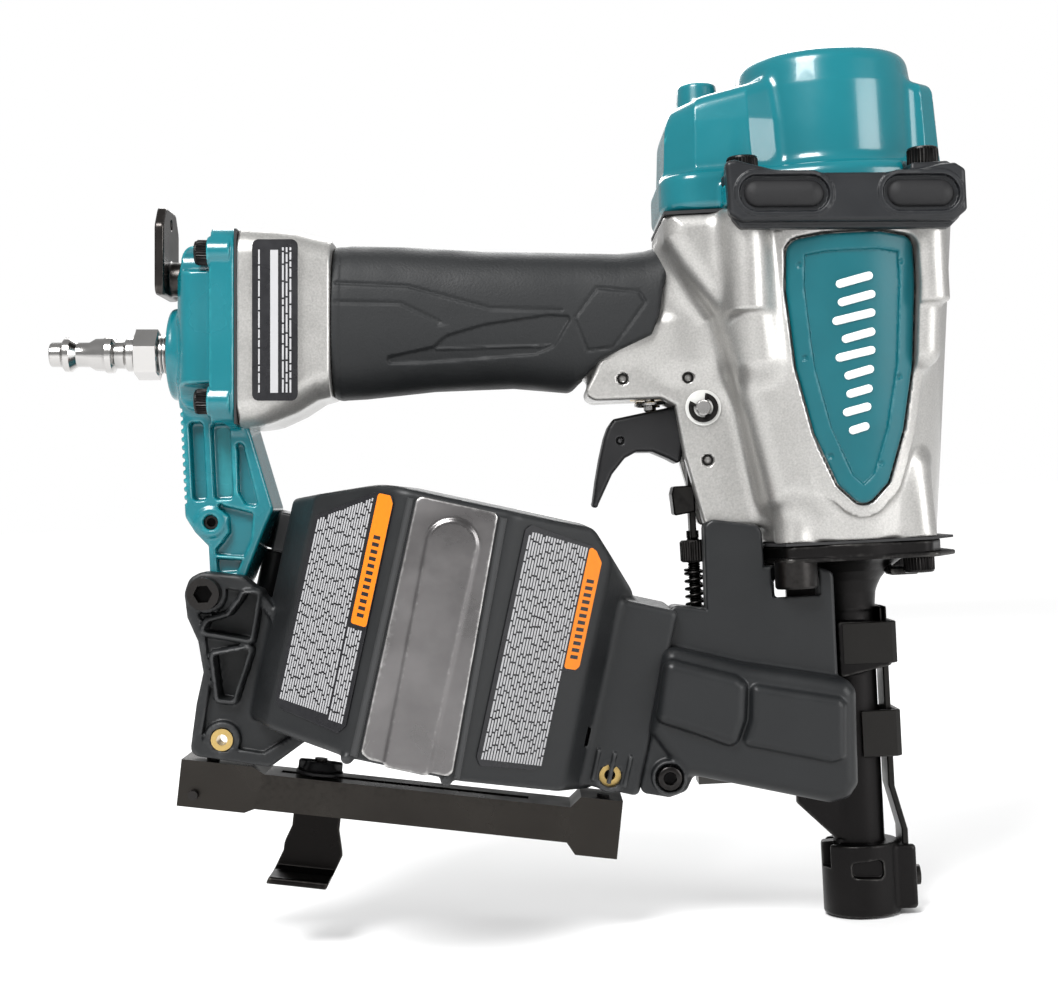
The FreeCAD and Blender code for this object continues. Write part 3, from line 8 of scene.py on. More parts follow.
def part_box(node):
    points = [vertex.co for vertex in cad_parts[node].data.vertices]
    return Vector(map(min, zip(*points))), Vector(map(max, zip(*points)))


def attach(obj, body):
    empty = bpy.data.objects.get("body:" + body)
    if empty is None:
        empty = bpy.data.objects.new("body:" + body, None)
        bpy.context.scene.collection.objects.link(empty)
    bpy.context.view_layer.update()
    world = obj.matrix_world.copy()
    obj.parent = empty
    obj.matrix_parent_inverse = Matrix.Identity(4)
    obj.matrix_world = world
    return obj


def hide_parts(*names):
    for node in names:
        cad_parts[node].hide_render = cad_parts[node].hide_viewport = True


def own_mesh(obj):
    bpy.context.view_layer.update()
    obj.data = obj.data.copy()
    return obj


# Coil roofing nailer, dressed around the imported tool. Sizes and places inside the sections are
# in millimetres in the tool's own frame, and SCALE turns them into the frame's metres.
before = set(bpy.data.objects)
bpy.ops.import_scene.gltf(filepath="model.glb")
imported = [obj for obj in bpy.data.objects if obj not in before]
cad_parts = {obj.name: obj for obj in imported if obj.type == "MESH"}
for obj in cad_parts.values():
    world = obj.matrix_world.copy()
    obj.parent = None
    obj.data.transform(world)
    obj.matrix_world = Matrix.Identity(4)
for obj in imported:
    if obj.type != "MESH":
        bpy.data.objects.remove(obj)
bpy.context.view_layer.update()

# ---------------------------------------------------------------------------------------
# Housing: barrel, shoulder, handle core, flare and trigger web are one aluminium casting,
# shot-blasted and sprayed with silver metallic paint. Cast corners are all rounded, so the
# casting is worked out as a distance field and skinned.
# ---------------------------------------------------------------------------------------


SCALE = 0.001


def span(value, low, high):
    """Signed distance to the slab between two values."""
    return np.maximum(low - value, value - high)


def meld(first, second, round_by=0.0):
    """Union of two shapes, with a fillet where they meet."""
    if round_by <= 0:
        return np.minimum(first, second)
    share = np.clip(0.5 + 0.5 * (second - first) / round_by, 0, 1)
    return second + (first - second) * share - round_by * share * (1 - share)


def carve(shape, tool, round_by=0.0):
    """The shape with the tool taken out, its rim rounded."""
    return -meld(-shape, tool, round_by)


def overlap(first, second, round_by=0.0):
    """What two shapes share, with a rounded edge where they meet."""
    return -meld(-first, -second, round_by)


def round_edge(first, second, radius):
    """What two shapes share, each already drawn in by the radius of the edge between them."""
    outside = np.hypot(np.maximum(first, 0), np.maximum(second, 0))
    return outside + np.minimum(np.maximum(first, second), 0) - radius


def block(p, centre, half, corner=0.0):
    """A box with rounded edges."""
    q = [np.abs(a - c) - (h - corner) for a, c, h in zip(p, centre, half)]
    outside = np.sqrt(sum(np.maximum(a, 0) ** 2 for a in q))
    return outside + np.minimum(np.maximum.reduce(q), 0) - corner


def disc(a, b, along, centre, radius, low, high, corner=0.0):
    """A cylinder across the plane of a and b, with rounded rims."""
    ring = np.hypot(a - centre[0], b - centre[1]) - (radius - corner)
    flat = np.abs(along - (low + high) / 2) - ((high - low) / 2 - corner)
    return round_edge(ring, flat, corner)


def outline(a, b, points):
    """Signed distance to a closed outline in the plane of a and b."""
    best = None
    odd = np.zeros(a.shape, bool)
    for (x0, y0), (x1, y1) in zip(points, points[1:] + points[:1]):
        ex, ey = x1 - x0, y1 - y0
        px, py = a - x0, b - y0
        along = np.clip((px * ex + py * ey) / (ex * ex + ey * ey), 0, 1)
        gap = (px - along * ex) ** 2 + (py - along * ey) ** 2
        best = gap if best is None else np.minimum(best, gap)
        crosses = (y0 > b) != (y1 > b)
        if ey != 0:
            odd ^= crosses & (a < x0 + ex * (b - y0) / ey)
    return np.where(odd, -1, 1) * np.sqrt(best)


def inset(points, by):
    """The outline moved in on all sides; rounding it back gives round corners."""
    count = len(points)
    area = sum(points[i][0] * points[(i + 1) % count][1] - points[(i + 1) % count][0] * points[i][1]
               for i in range(count))
    turn = 1 if area > 0 else -1
    moved = []
    for i in range(count):
        before, here, after = (Vector(points[i - 1]), Vector(points[i]),
                               Vector(points[(i + 1) % count]))
        first = (here - before).normalized()
        second = (after - here).normalized()
        left = Vector((-first.y, first.x)) * turn
        right = Vector((-second.y, second.x)) * turn
        mid = (left + right).normalized()
        moved.append(tuple(here + mid * by / max(mid.dot(left), 0.3)))
    return moved


def soft_plate(a, b, across, points, low, high, corner, rim=0.8):
    """An outline of some thickness, with round corners and rounded rims."""
    flat = outline(a, b, inset(points, corner)) - corner
    flat = flat + rim
    thick = np.abs(across - (low + high) / 2) - (high - low) / 2 + rim
    return round_edge(flat, thick, rim)


def bar(p, start, end, radius):
    """A round bar between two points."""
    d = [e - s for s, e in zip(start, end)]
    q = [a - s for a, s in zip(p, start)]
    along = np.clip(sum(a * b for a, b in zip(q, d)) / sum(v * v for v in d), 0, 1)
    return np.sqrt(sum((a - along * v) ** 2 for a, v in zip(q, d))) - radius


class Tilt:
    """A frame in the tool's XZ plane, tilted about +Y, as the handle and the magazine are."""

    def __init__(self, x, z, degrees):
        self.x, self.z = x, z
        self.c = math.cos(math.radians(degrees))
        self.s = math.sin(math.radians(degrees))

    def local(self, x, z):
        """Along and across this frame, from the tool's x and z."""
        dx, dz = x - self.x, z - self.z
        return dx * self.c - dz * self.s, dx * self.s + dz * self.c

    def out(self, u, w):
        """The tool's x and z, from along and across this frame."""
        return self.x + u * self.c + w * self.s, self.z - u * self.s + w * self.c

    def matrix(self):
        """From this frame to the tool's own."""
        return Matrix(((self.c, 0, self.s, self.x), (0, 1, 0, 0),
                       (-self.s, 0, self.c, self.z), (0, 0, 0, 1)))


LEVEL = Tilt(0, 0, 0)
FINE = 1.0


def sampled(shape, low, high, step):
    """The field on a lattice: all of it coarsely, and finely only near the skin."""
    coarse = 4
    counts = [int(math.ceil((b - a) / (step * coarse))) + 2 for a, b in zip(low, high)]
    origin = np.array(low, float) - step * coarse * 0.5
    axes = [origin[i] + np.arange(counts[i]) * step * coarse for i in range(3)]
    rough = shape(*np.meshgrid(*axes, indexing="ij"))
    near = np.abs(rough) < step * coarse * 1.9
    fine_axes = [origin[i] + (np.arange(counts[i] * coarse) - coarse / 2 + 0.5) * step for i in range(3)]
    field = rough
    mask = near
    for axis in range(3):
        field = np.repeat(field, coarse, axis)
        mask = np.repeat(mask, coarse, axis)
    where = np.nonzero(mask)
    field[where] = shape(*[fine_axes[i][where[i]] for i in range(3)])
    return field, np.array([axis[0] for axis in fine_axes])


def skin(field, origin, step):
    """Points and four-sided faces of the surface where the field is zero."""
    inside = field < 0
    corner_steps = [(i, j, k) for i in (0, 1) for j in (0, 1) for k in (0, 1)]
    size = [n - 1 for n in field.shape]
    total = np.zeros(size, np.int8)
    for i, j, k in corner_steps:
        total += inside[i:size[0] + i, j:size[1] + j, k:size[2] + k]
    cells = np.nonzero((total > 0) & (total < 8))
    number = np.full(size, -1, np.int64)
    number[cells] = np.arange(len(cells[0]))
    values = {c: field[cells[0] + c[0], cells[1] + c[1], cells[2] + c[2]] for c in corner_steps}
    points = np.zeros((len(cells[0]), 3))
    hits = np.zeros(len(cells[0]))
    for a in corner_steps:
        for axis in range(3):
            if a[axis] == 1:
                continue
            b = tuple(1 if n == axis else v for n, v in enumerate(a))
            crossing = (values[a] < 0) != (values[b] < 0)
            share = values[a] / np.where(crossing, values[a] - values[b], 1)
            place = np.array(a, float) + np.outer(share, np.eye(3)[axis])
            points += place * crossing[:, None]
            hits += crossing
    points = origin + (np.stack(cells, 1) + points / hits[:, None]) * step
    faces = []
    for axis in range(3):
        others = [n for n in range(3) if n != axis]
        if axis == 1:
            others = others[::-1]
        first = [slice(1, -1)] * 3
        second = [slice(1, -1)] * 3
        first[axis], second[axis] = slice(0, -1), slice(1, None)
        start, end = inside[tuple(first)], inside[tuple(second)]
        edges = np.nonzero(start != end)
        base = [edges[n] + (0 if n == axis else 1) for n in range(3)]
        ring = []
        for shift in ((-1, -1), (0, -1), (0, 0), (-1, 0)):
            cell = list(base)
            cell[others[0]] = cell[others[0]] + shift[0]
            cell[others[1]] = cell[others[1]] + shift[1]
            ring.append(number[tuple(cell)])
        quads = np.stack(ring, 1)
        flip = ~start[edges]
        quads[flip] = quads[flip][:, ::-1]
        faces.append(quads)
    return points, np.concatenate(faces)


def slope(shape, points, reach):
    """The direction in which the field grows, at each point."""
    result = np.zeros_like(points)
    for axis in range(3):
        step = np.zeros(3)
        step[axis] = reach
        result[:, axis] = shape(*(points + step).T) - shape(*(points - step).T)
    return result / (2 * reach)


def cast(name, shape, low, high, step, finish, body, replaced=(), tilt=LEVEL, keep=0.45):
    """A piece skinned from its field, its points drawn onto the true surface."""
    step = step * FINE
    field, origin = sampled(shape, low, high, step)
    points, faces = skin(field, origin, step)
    mesh = bpy.data.meshes.new(name)
    mesh.vertices.add(len(points))
    mesh.vertices.foreach_set("co", points.ravel())
    mesh.loops.add(faces.size)
    mesh.loops.foreach_set("vertex_index", faces.ravel())
    mesh.polygons.add(len(faces))
    mesh.polygons.foreach_set("loop_start", np.arange(0, faces.size, 4))
    mesh.update(calc_edges=True)
    piece = bpy.data.objects.new(name, mesh)
    bpy.context.scene.collection.objects.link(piece)
    if keep < 1:
        thin = piece.modifiers.new("thin", "DECIMATE")
        thin.ratio = keep
        view = bpy.context.evaluated_depsgraph_get()
        thinned = bpy.data.meshes.new_from_object(piece.evaluated_get(view))
        piece.modifiers.clear()
        piece.data = thinned
        bpy.data.meshes.remove(mesh)
        mesh = thinned
        mesh.name = name
    points = np.zeros(len(mesh.vertices) * 3)
    mesh.vertices.foreach_get("co", points)
    points = points.reshape(-1, 3)
    for _ in range(2):
        value = shape(*points.T)
        grow = slope(shape, points, step * 0.3)
        length = np.maximum((grow ** 2).sum(1), 0.2)
        move = np.clip(value / length, -step * 0.6, step * 0.6)
        points = points - grow * move[:, None]
    normals = slope(shape, points, step * 0.45)
    normals /= np.maximum(np.linalg.norm(normals, axis=1), 1e-6)[:, None]
    turn = np.array(tilt.matrix().to_3x3())
    points = (points @ turn.T + np.array([tilt.x, 0, tilt.z])) * SCALE
    mesh.vertices.foreach_set("co", points.ravel())
    mesh.polygons.foreach_set("use_smooth", np.ones(len(mesh.polygons), bool))
    mesh.normals_split_custom_set_from_vertices([tuple(n) for n in normals @ turn.T])
    mesh.update()
    return dress(piece, finish, body, replaced)


def dress(piece, finish, body, replaced=()):
    """Gives a finished piece its material, its body and the solids that it stands for."""
    piece.data.materials.clear()
    piece.data.materials.append(finish)
    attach(piece, body)
    if replaced:
        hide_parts(*([replaced] if isinstance(replaced, str) else replaced))
    return piece


def new_finish(name, colour, roughness, metallic=0.0, coat=0.0, **sockets):
    """A material with its shader; colours and values that vary are wired in afterwards."""
    material = bpy.data.materials.new(name)
    material.use_nodes = True
    nodes = material.node_tree.nodes
    shader = nodes["Principled BSDF"]
    shader.inputs["Base Color"].default_value = (*colour, 1)
    shader.inputs["Roughness"].default_value = roughness
    shader.inputs["Metallic"].default_value = metallic
    shader.inputs["Coat Weight"].default_value = coat
    for socket, value in sockets.items():
        shader.inputs[socket.replace("_", " ").title().replace("Ior", "IOR")].default_value = value
    return material


def group(name, inputs, outputs):
    """An empty shader node group with named sockets."""
    tree = bpy.data.node_groups.new(name, "ShaderNodeTree")
    for socket, kind, value in inputs:
        made = tree.interface.new_socket(socket, in_out="INPUT", socket_type=kind)
        if value is not None:
            made.default_value = value
    for socket, kind in outputs:
        tree.interface.new_socket(socket, in_out="OUTPUT", socket_type=kind)
    return tree, tree.nodes.new("NodeGroupInput"), tree.nodes.new("NodeGroupOutput")


def wire(tree, source, target):
    """Joins one node's output to another's input."""
    tree.links.new(source, target)


def add_node(tree, kind, **settings):
    """A node with its settings; names that are sockets set the socket's value."""
    node = tree.nodes.new(kind)
    for key, value in settings.items():
        if hasattr(node, key):
            setattr(node, key, value)
        else:
            node.inputs[key.replace("_", " ").title()].default_value = value
    return node


def make_speckle_group():
    """Fine grain of two sizes: a mask for roughness and colour, and a height for bump."""
    tree, start, end = group("surface grain", [
        ("Scale", "NodeSocketFloat", 1500.0), ("Coarse Scale", "NodeSocketFloat", 120.0)],
        [("Fine", "NodeSocketFloat"), ("Patches", "NodeSocketFloat")])
    place = tree.nodes.new("ShaderNodeTexCoord")
    fine = add_node(tree, "ShaderNodeTexNoise", detail=2.0)
    patches = add_node(tree, "ShaderNodeTexNoise", detail=4.0)
    wire(tree, place.outputs["Object"], fine.inputs["Vector"])
    wire(tree, place.outputs["Object"], patches.inputs["Vector"])
    wire(tree, start.outputs["Scale"], fine.inputs["Scale"])
    wire(tree, start.outputs["Coarse Scale"], patches.inputs["Scale"])
    wire(tree, fine.outputs["Fac"], end.inputs["Fine"])
    wire(tree, patches.outputs["Fac"], end.inputs["Patches"])
    return tree


def make_wear_group():
    """Rubbed edges and painted shade in hollows: a mask for each, from how sharply the surface turns."""
    tree, start, end = group("edge wear", [
        ("Sharpness", "NodeSocketFloat", 0.52), ("Breakup", "NodeSocketFloat", 300.0)],
        [("Rubbed", "NodeSocketFloat"), ("Hollow", "NodeSocketFloat")])
    surface = tree.nodes.new("ShaderNodeNewGeometry")
    place = tree.nodes.new("ShaderNodeTexCoord")
    broken = add_node(tree, "ShaderNodeTexNoise", detail=5.0)
    wire(tree, place.outputs["Object"], broken.inputs["Vector"])
    wire(tree, start.outputs["Breakup"], broken.inputs["Scale"])
    mixed = add_node(tree, "ShaderNodeMath", operation="MULTIPLY_ADD")
    wire(tree, broken.outputs["Fac"], mixed.inputs[0])
    mixed.inputs[1].default_value = 0.06
    wire(tree, surface.outputs["Pointiness"], mixed.inputs[2])
    rubbed = add_node(tree, "ShaderNodeMapRange", interpolation_type="SMOOTHSTEP")
    wire(tree, mixed.outputs[0], rubbed.inputs["Value"])
    wire(tree, start.outputs["Sharpness"], rubbed.inputs["From Min"])
    higher = add_node(tree, "ShaderNodeMath", operation="ADD")
    wire(tree, start.outputs["Sharpness"], higher.inputs[0])
    higher.inputs[1].default_value = 0.06
    wire(tree, higher.outputs[0], rubbed.inputs["From Max"])
    # Hollow mask: where the surface turns inward; the finishes darken there as painted shade.
    hollow = add_node(tree, "ShaderNodeMapRange", interpolation_type="SMOOTHSTEP")
    wire(tree, surface.outputs["Pointiness"], hollow.inputs["Value"])
    hollow.inputs["From Min"].default_value = 0.49
    hollow.inputs["From Max"].default_value = 0.40
    wire(tree, rubbed.outputs["Result"], end.inputs["Rubbed"])
    wire(tree, hollow.outputs["Result"], end.inputs["Hollow"])
    return tree


GRAIN = make_speckle_group()
WEAR = make_wear_group()


def use_group(material, tree, **values):
    """A shared effect placed in a material with its own values."""
    node = material.node_tree.nodes.new("ShaderNodeGroup")
    node.node_tree = tree
    for key, value in values.items():
        node.inputs[key.replace("_", " ").title()].default_value = value
    return node


def vary(material, factor, socket, low, high, from_low=0.3, from_high=0.7):
    """Drives one of the shader's values between two limits by a mask."""
    tree = material.node_tree
    ranged = add_node(tree, "ShaderNodeMapRange")
    ranged.inputs["From Min"].default_value = from_low
    ranged.inputs["From Max"].default_value = from_high
    ranged.inputs["To Min"].default_value = low
    ranged.inputs["To Max"].default_value = high
    wire(tree, factor, ranged.inputs["Value"])
    wire(tree, ranged.outputs["Result"], tree.nodes["Principled BSDF"].inputs[socket])


def tint(material, factor, first, second):
    """Mixes two colours by a mask and returns the mixed colour's socket."""
    tree = material.node_tree
    mix = add_node(tree, "ShaderNodeMix", data_type="RGBA")
    wire(tree, factor, mix.inputs[0])
    for index, colour in ((6, first), (7, second)):
        if isinstance(colour, tuple):
            mix.inputs[index].default_value = (*colour, 1)
        else:
            wire(tree, colour, mix.inputs[index])
    return mix.outputs[2]


def shader_of(material):
    """The material's own shader."""
    return material.node_tree.nodes["Principled BSDF"]


def bump(material, height, strength, depth):
    """Relief on the surface; depth is in metres."""
    tree = material.node_tree
    node = add_node(tree, "ShaderNodeBump")
    node.inputs["Strength"].default_value = strength
    node.inputs["Distance"].default_value = depth
    wire(tree, height, node.inputs["Height"])
    wire(tree, node.outputs["Normal"], shader_of(material).inputs["Normal"])


def silver_paint():
    """Silver metallic: bright flakes in a clear coat over a shot-blasted casting."""
    silver = new_finish("silver metallic paint", (0.60, 0.59, 0.57), 0.36, 0.75, 0.25)
    tree = silver.node_tree
    grain = use_group(silver, GRAIN, scale=1700.0, coarse_scale=60.0)
    wear = use_group(silver, WEAR, sharpness=0.56, breakup=240.0)
    base = tint(silver, grain.outputs["Fine"], (0.30, 0.295, 0.285), (0.56, 0.55, 0.53))
    # Painted shade: the silver is darkened to a dark grey in the hollows, where shade would fall.
    silver_hollow_shade = tint(silver, wear.outputs["Hollow"], base, (0.16, 0.15, 0.14))
    wire(tree, silver_hollow_shade, shader_of(silver).inputs["Base Color"])
    vary(silver, grain.outputs["Patches"], "Roughness", 0.30, 0.44)
    bump(silver, grain.outputs["Fine"], 0.35, 0.00012)
    return silver


SILVER = silver_paint()
HANDLE = Tilt(-187, 197.3, 2.9)
JOINT_Z = 221.0
SEAT_Z = 119.0
LUG_ROWS, LUG_SIDE = (24, -30.6), 33
FLANGE_ROWS, FLANGE_SIDE = (19, -19), 22
SHIELD = [(-19, 210.8), (-8, 212.0), (9, 212.0), (20, 210.2), (20.3, 196), (18.8, 172), (15, 152),
          (9.5, 136), (1.3, 128.2), (-6.5, 136), (-13, 152), (-17.5, 172), (-19.6, 196)]


def barrel_radius(z):
    """The barrel is a cone, widest at its joint with the cap."""
    return 29.0 + (38.5 - 29.0) * np.clip((z - SEAT_Z) / (JOINT_Z - SEAT_Z), -0.1, 1.1)


def shield_field(x, z):
    """Signed distance to the badge's outline, with its corners rounded."""
    return outline(x, z, inset(SHIELD, 4.5)) - 4.5


ROLL_PINS = [(-69.0, 172.7), (-48.6, 172.0), (-43.7, 146.0)]


def housing_shape(x, y, z):
    side = np.abs(y)
    u, w = HANDLE.local(x, z)
    radius = np.hypot(x, y)
    wall = (radius - barrel_radius(z)) * 0.995
    body = overlap(wall, span(z, SEAT_Z, JOINT_Z), 1.5)
    shoulder = soft_plate(x, z, side, [
        (-55, 223), (-10, 223), (-10, 130), (-27, 130), (-33, 160), (-40, 190), (-50, 205),
        (-55, 214)], -31, 31, 4, 7)
    shoulder = overlap(shoulder, z - JOINT_Z, 1.0)
    body = meld(body, shoulder, 9)
    root = block((u, y, w), (100, 0, 0.5), (62, 14.6, 18.4), 11)
    root = meld(root, block((u, y, w), (146, 0, 0.5), (18, 16.5, 21.5), 9), 4)
    body = meld(body, root, 10)
    web = soft_plate(x, z, side, [
        (-81.5, 168.3), (-78, 166.3), (-57.5, 166.2), (-53, 163.5), (-51, 148), (-47, 131),
        (-45.7, 125.3), (-20, 124.5), (-20, 190), (-60, 190), (-76, 178)], -15, 15, 2.5, 1.2)
    body = meld(body, web, 4)
    for row in LUG_ROWS:
        lug = disc(x, side, z, (row, LUG_SIDE), 6.0, 190, JOINT_Z, 1.0)
        root = bar((x, side, z), (row * 0.9, LUG_SIDE * 0.9, 176), (row, LUG_SIDE, 214), 5.5)
        body = meld(body, meld(lug, root, 2), 6)
    for row in FLANGE_ROWS:
        lug = bar((x, side, z), (row, FLANGE_SIDE, SEAT_Z - 5), (row * 0.93, FLANGE_SIDE * 0.93, 140), 6.3)
        body = meld(body, overlap(lug, SEAT_Z - z, 0.5), 3)
    shield = shield_field(x, z)
    rim = overlap(np.maximum(np.abs(shield - 1.8) - 1.9, wall - 1.3), -wall - 8)
    rim = np.where(side > 5, rim, 50.0)
    body = meld(body, rim, 2.2)
    pocket = np.maximum(shield - 0.3, -(wall + 0.9))
    pocket = np.where(side > 5, pocket, 50.0)
    body = carve(body, pocket, 0.6)
    height = np.interp(u, [0, 3, 10, 18, 24, 30], [31, 31, 30.3, 28.2, 25.6, 24.3])
    drop = np.interp(u, [0, 8, 16, 24, 30], [-3.0, -2.8, -1.4, 0.2, 0.4])
    width = np.interp(u, [0, 6, 14, 22, 30], [24.6, 24.4, 23.2, 21.0, 19.4])
    corner = 9.0
    flare = round_edge(np.abs(y) - (width - corner), np.abs(w - drop) - (height - corner), corner)
    flare = overlap(flare * 0.97, span(u, 0, 28.2), 1.0)
    body = meld(body, flare, 1.2)
    slot = block((x, y, z), (-70, 0, 140), (33.5, 8.4, 26.5), 1.0)
    body = carve(body, slot, 0.6)
    for px, pz in ROLL_PINS:
        body = carve(body, disc(x, z, side, (px, pz), 1.75, 13.8, 40), 0.3)
    return body


cast("housing_casting", housing_shape, (-190, -42, 117), (40, 42, 227), 0.8, SILVER, "tool",
     "housing")

# ---------------------------------------------------------------------------------------
# Cap: aluminium die casting over the head valve, sprayed with teal gloss enamel.
# ---------------------------------------------------------------------------------------


def teal_enamel():
    """Gloss enamel with orange peel, rubbed to a lighter teal on the edges."""
    teal = new_finish("teal enamel", (0.0, 0.20, 0.235), 0.22, 0.0, 0.35, specular_ior_level=0.5)
    tree = teal.node_tree
    grain = use_group(teal, GRAIN, scale=420.0, coarse_scale=35.0)
    wear = use_group(teal, WEAR, sharpness=0.55, breakup=420.0)
    base = tint(teal, grain.outputs["Patches"], (0.0, 0.115, 0.142), (0.002, 0.150, 0.182))
    rubbed = tint(teal, wear.outputs["Rubbed"], base, (0.015, 0.22, 0.25))
    wire(tree, rubbed, shader_of(teal).inputs["Base Color"])
    vary(teal, grain.outputs["Patches"], "Roughness", 0.16, 0.30)
    bump(teal, grain.outputs["Fine"], 0.10, 0.00015)
    return teal


TEAL = teal_enamel()
CAP_Z = 222.0
CAP_TOP = 271.0


def cap_shape(x, y, z):
    side = np.abs(y)
    radius = np.hypot(x, y)
    round_plan = radius - np.interp(z, [222, 231, 240, 252], [38.5, 38.2, 36.5, 34.0])
    rear_plan = np.hypot(np.maximum(side - 18, 0), np.maximum(-x - 43, 0)) - 12
    skirt_plan = meld(round_plan, np.maximum(rear_plan, x - 5), 8)
    skirt = overlap(skirt_plan, span(z, CAP_Z, 234), 3.0)
    dome_plan = radius - np.interp(z, [222, 260, 271], [29.2, 28.0, 26.5])
    dome = overlap(dome_plan, span(z, CAP_Z, CAP_TOP), 4.5)
    lobe_plan = outline(x, side, [(-53, -40), (-53, 17), (-44, 26), (-27, 27.5), (-16, 22), (0, 22),
                                  (0, -40)])
    roof = np.interp(x, [-55, -50, -40, -28, -20], [249, 255.5, 258.5, 261, 264])
    lobe = overlap(lobe_plan - np.interp(z, [222, 232, 250, 262], [1.5, 0.5, -0.8, -2.5]),
                   np.maximum(CAP_Z - z, z - roof), 5.0)
    front_plan = outline(x, side, [(0, -40), (0, 16), (29, 16), (34.5, 10), (35, -40)])
    front = overlap(front_plan + np.interp(z, [222, 262], [-0.8, 1.6]), span(z, CAP_Z, 261), 3.5)
    boss = overlap(np.hypot(x + 40, y) - np.interp(z, [250, 266], [7.6, 6.0]), span(z, CAP_Z, 266), 1.2)
    body = meld(skirt, dome, 5)
    body = meld(body, front, 3)
    body = meld(body, lobe, 2.5)
    body = meld(body, boss, 3)
    for row in LUG_ROWS:
        body = meld(body, disc(x, side, z, (row, LUG_SIDE), 6.4, CAP_Z, 229, 0.8), 2.5)
    for row in LUG_ROWS:
        body = carve(body, disc(x, side, z, (row, LUG_SIDE), 5.9, 228, 300, 0.5), 1.0)
    return body


cast("top_cap_casting", cap_shape, (-57, -41, 220), (41, 41, 273), 0.7, TEAL, "tool", "top_cap")

# ---------------------------------------------------------------------------------------
# Guards: black satin plastic bars along both sides of the cap, clamped under the cap screws.
# Each has two soft oblong pads pressed into grooves, so that the tool can lie on its side.
# ---------------------------------------------------------------------------------------


def moulded(name, colour, rough_low, rough_high, fine=0.2, depth=0.0001, scale=900.0, rubbed=0.05):
    """Moulded plastic or rubber: a fine grain, patches of sheen and edges rubbed lighter."""
    plastic = new_finish(name, colour, (rough_low + rough_high) / 2, specular_ior_level=0.35)
    tree = plastic.node_tree
    grain = use_group(plastic, GRAIN, scale=scale, coarse_scale=70.0)
    wear = use_group(plastic, WEAR, sharpness=0.55, breakup=500.0)
    lighter = tuple(value + rubbed for value in colour)
    darker = tuple(value * 0.72 for value in colour)
    base = tint(plastic, grain.outputs["Patches"], darker, colour)
    edges = tint(plastic, wear.outputs["Rubbed"], base, lighter)
    wire(tree, edges, shader_of(plastic).inputs["Base Color"])
    vary(plastic, grain.outputs["Patches"], "Roughness", rough_low, rough_high)
    bump(plastic, grain.outputs["Fine"], fine, depth)
    return plastic


GUARD_BLACK = moulded("guard plastic", (0.011, 0.012, 0.014), 0.34, 0.48, 0.15, rubbed=0.02)
PAD_RUBBER = moulded("pad rubber", (0.008, 0.008, 0.009), 0.5, 0.7, 0.35, 0.00015, rubbed=0.015)
PADS = ((-20.0, 12.0), (20.5, 10.0))


def guard_height(x, z):
    """Height above the guard's own centre line, which falls towards the nose."""
    return z - 222.5 + 0.045 * (x + 1.5)


def stadium(a, b, centre, half_length, radius):
    """Signed distance to an oblong with round ends."""
    return np.hypot(np.maximum(np.abs(a - centre) - half_length + radius, 0), b) - radius


def guards_shape(x, y, z):
    side = np.abs(y)
    w = guard_height(x, z)
    bar_line = [(-36.5, -6), (-33, -8.3), (30, -8.3), (34, -5), (34, 7), (31, 9), (27, 8.6), (20, 7),
                (10, 6.2), (-14, 6.2), (-22, 7), (-30, 9.0), (-34, 10.2), (-37, 9.5)]
    body = soft_plate(x, w, side, bar_line, 38.7, 45.2, 1.5, 1.4)
    lip = soft_plate(x, w, side, [(-33, -10), (29, -10), (32, -7), (32, 0), (-35, 0), (-35.5, -7)],
                     37.5, 42.6, 1.5, 0.8)
    body = meld(body, lip, 0.6)
    for row in LUG_ROWS:
        tab = disc(x, side, z, (row, LUG_SIDE), 6.6, 228.1, 231.0, 0.6)
        arm = block((x, side, z), (row, 37.5, 229.4), (5.6, 4.5, 1.6), 0.8)
        body = meld(body, meld(tab, arm, 1.0), 2.0)
    for centre, half in PADS:
        groove = np.maximum(stadium(x, w, centre, half + 1.3, 5.4), 44.0 - side)
        rim = np.maximum(np.abs(stadium(x, w, centre, half + 1.9, 6.0)) - 0.7, np.abs(side - 44.5) - 1.1)
        body = meld(body, rim, 0.7)
        body = carve(body, groove, 0.5)
    screw_well = overlap(disc(x, side, z, (LUG_ROWS[0], LUG_SIDE), 5.2, 231, 245), span(side, 0, 50))
    return carve(body, screw_well, 0.4)


def guard_pads_shape(x, y, z):
    side = np.abs(y)
    w = guard_height(x, z)
    pads = None
    for centre, half in PADS:
        flat = stadium(x, w, centre, half, 4.15)
        dome = 46.2 - 1.6 * np.clip(1 + flat / 4.0, 0, 1) ** 2
        pad = overlap(flat, np.maximum(side - dome, 43.4 - side), 1.0)
        pads = pad if pads is None else np.minimum(pads, pad)
    return pads


cast("cap_guards", guards_shape, (-39, -47, 210), (36, 47, 237), 0.55, GUARD_BLACK, "tool", "guards")
cast("cap_guard_pads", guard_pads_shape, (-34, -47.5, 216), (33, 47.5, 230), 0.5, PAD_RUBBER, "tool",
     "guard_pads")

# ---------------------------------------------------------------------------------------
# Cap screws: four long M6 socket screws of black oxide steel with knurled heads. They hold
# the guards and the cap down on the housing.
# ---------------------------------------------------------------------------------------


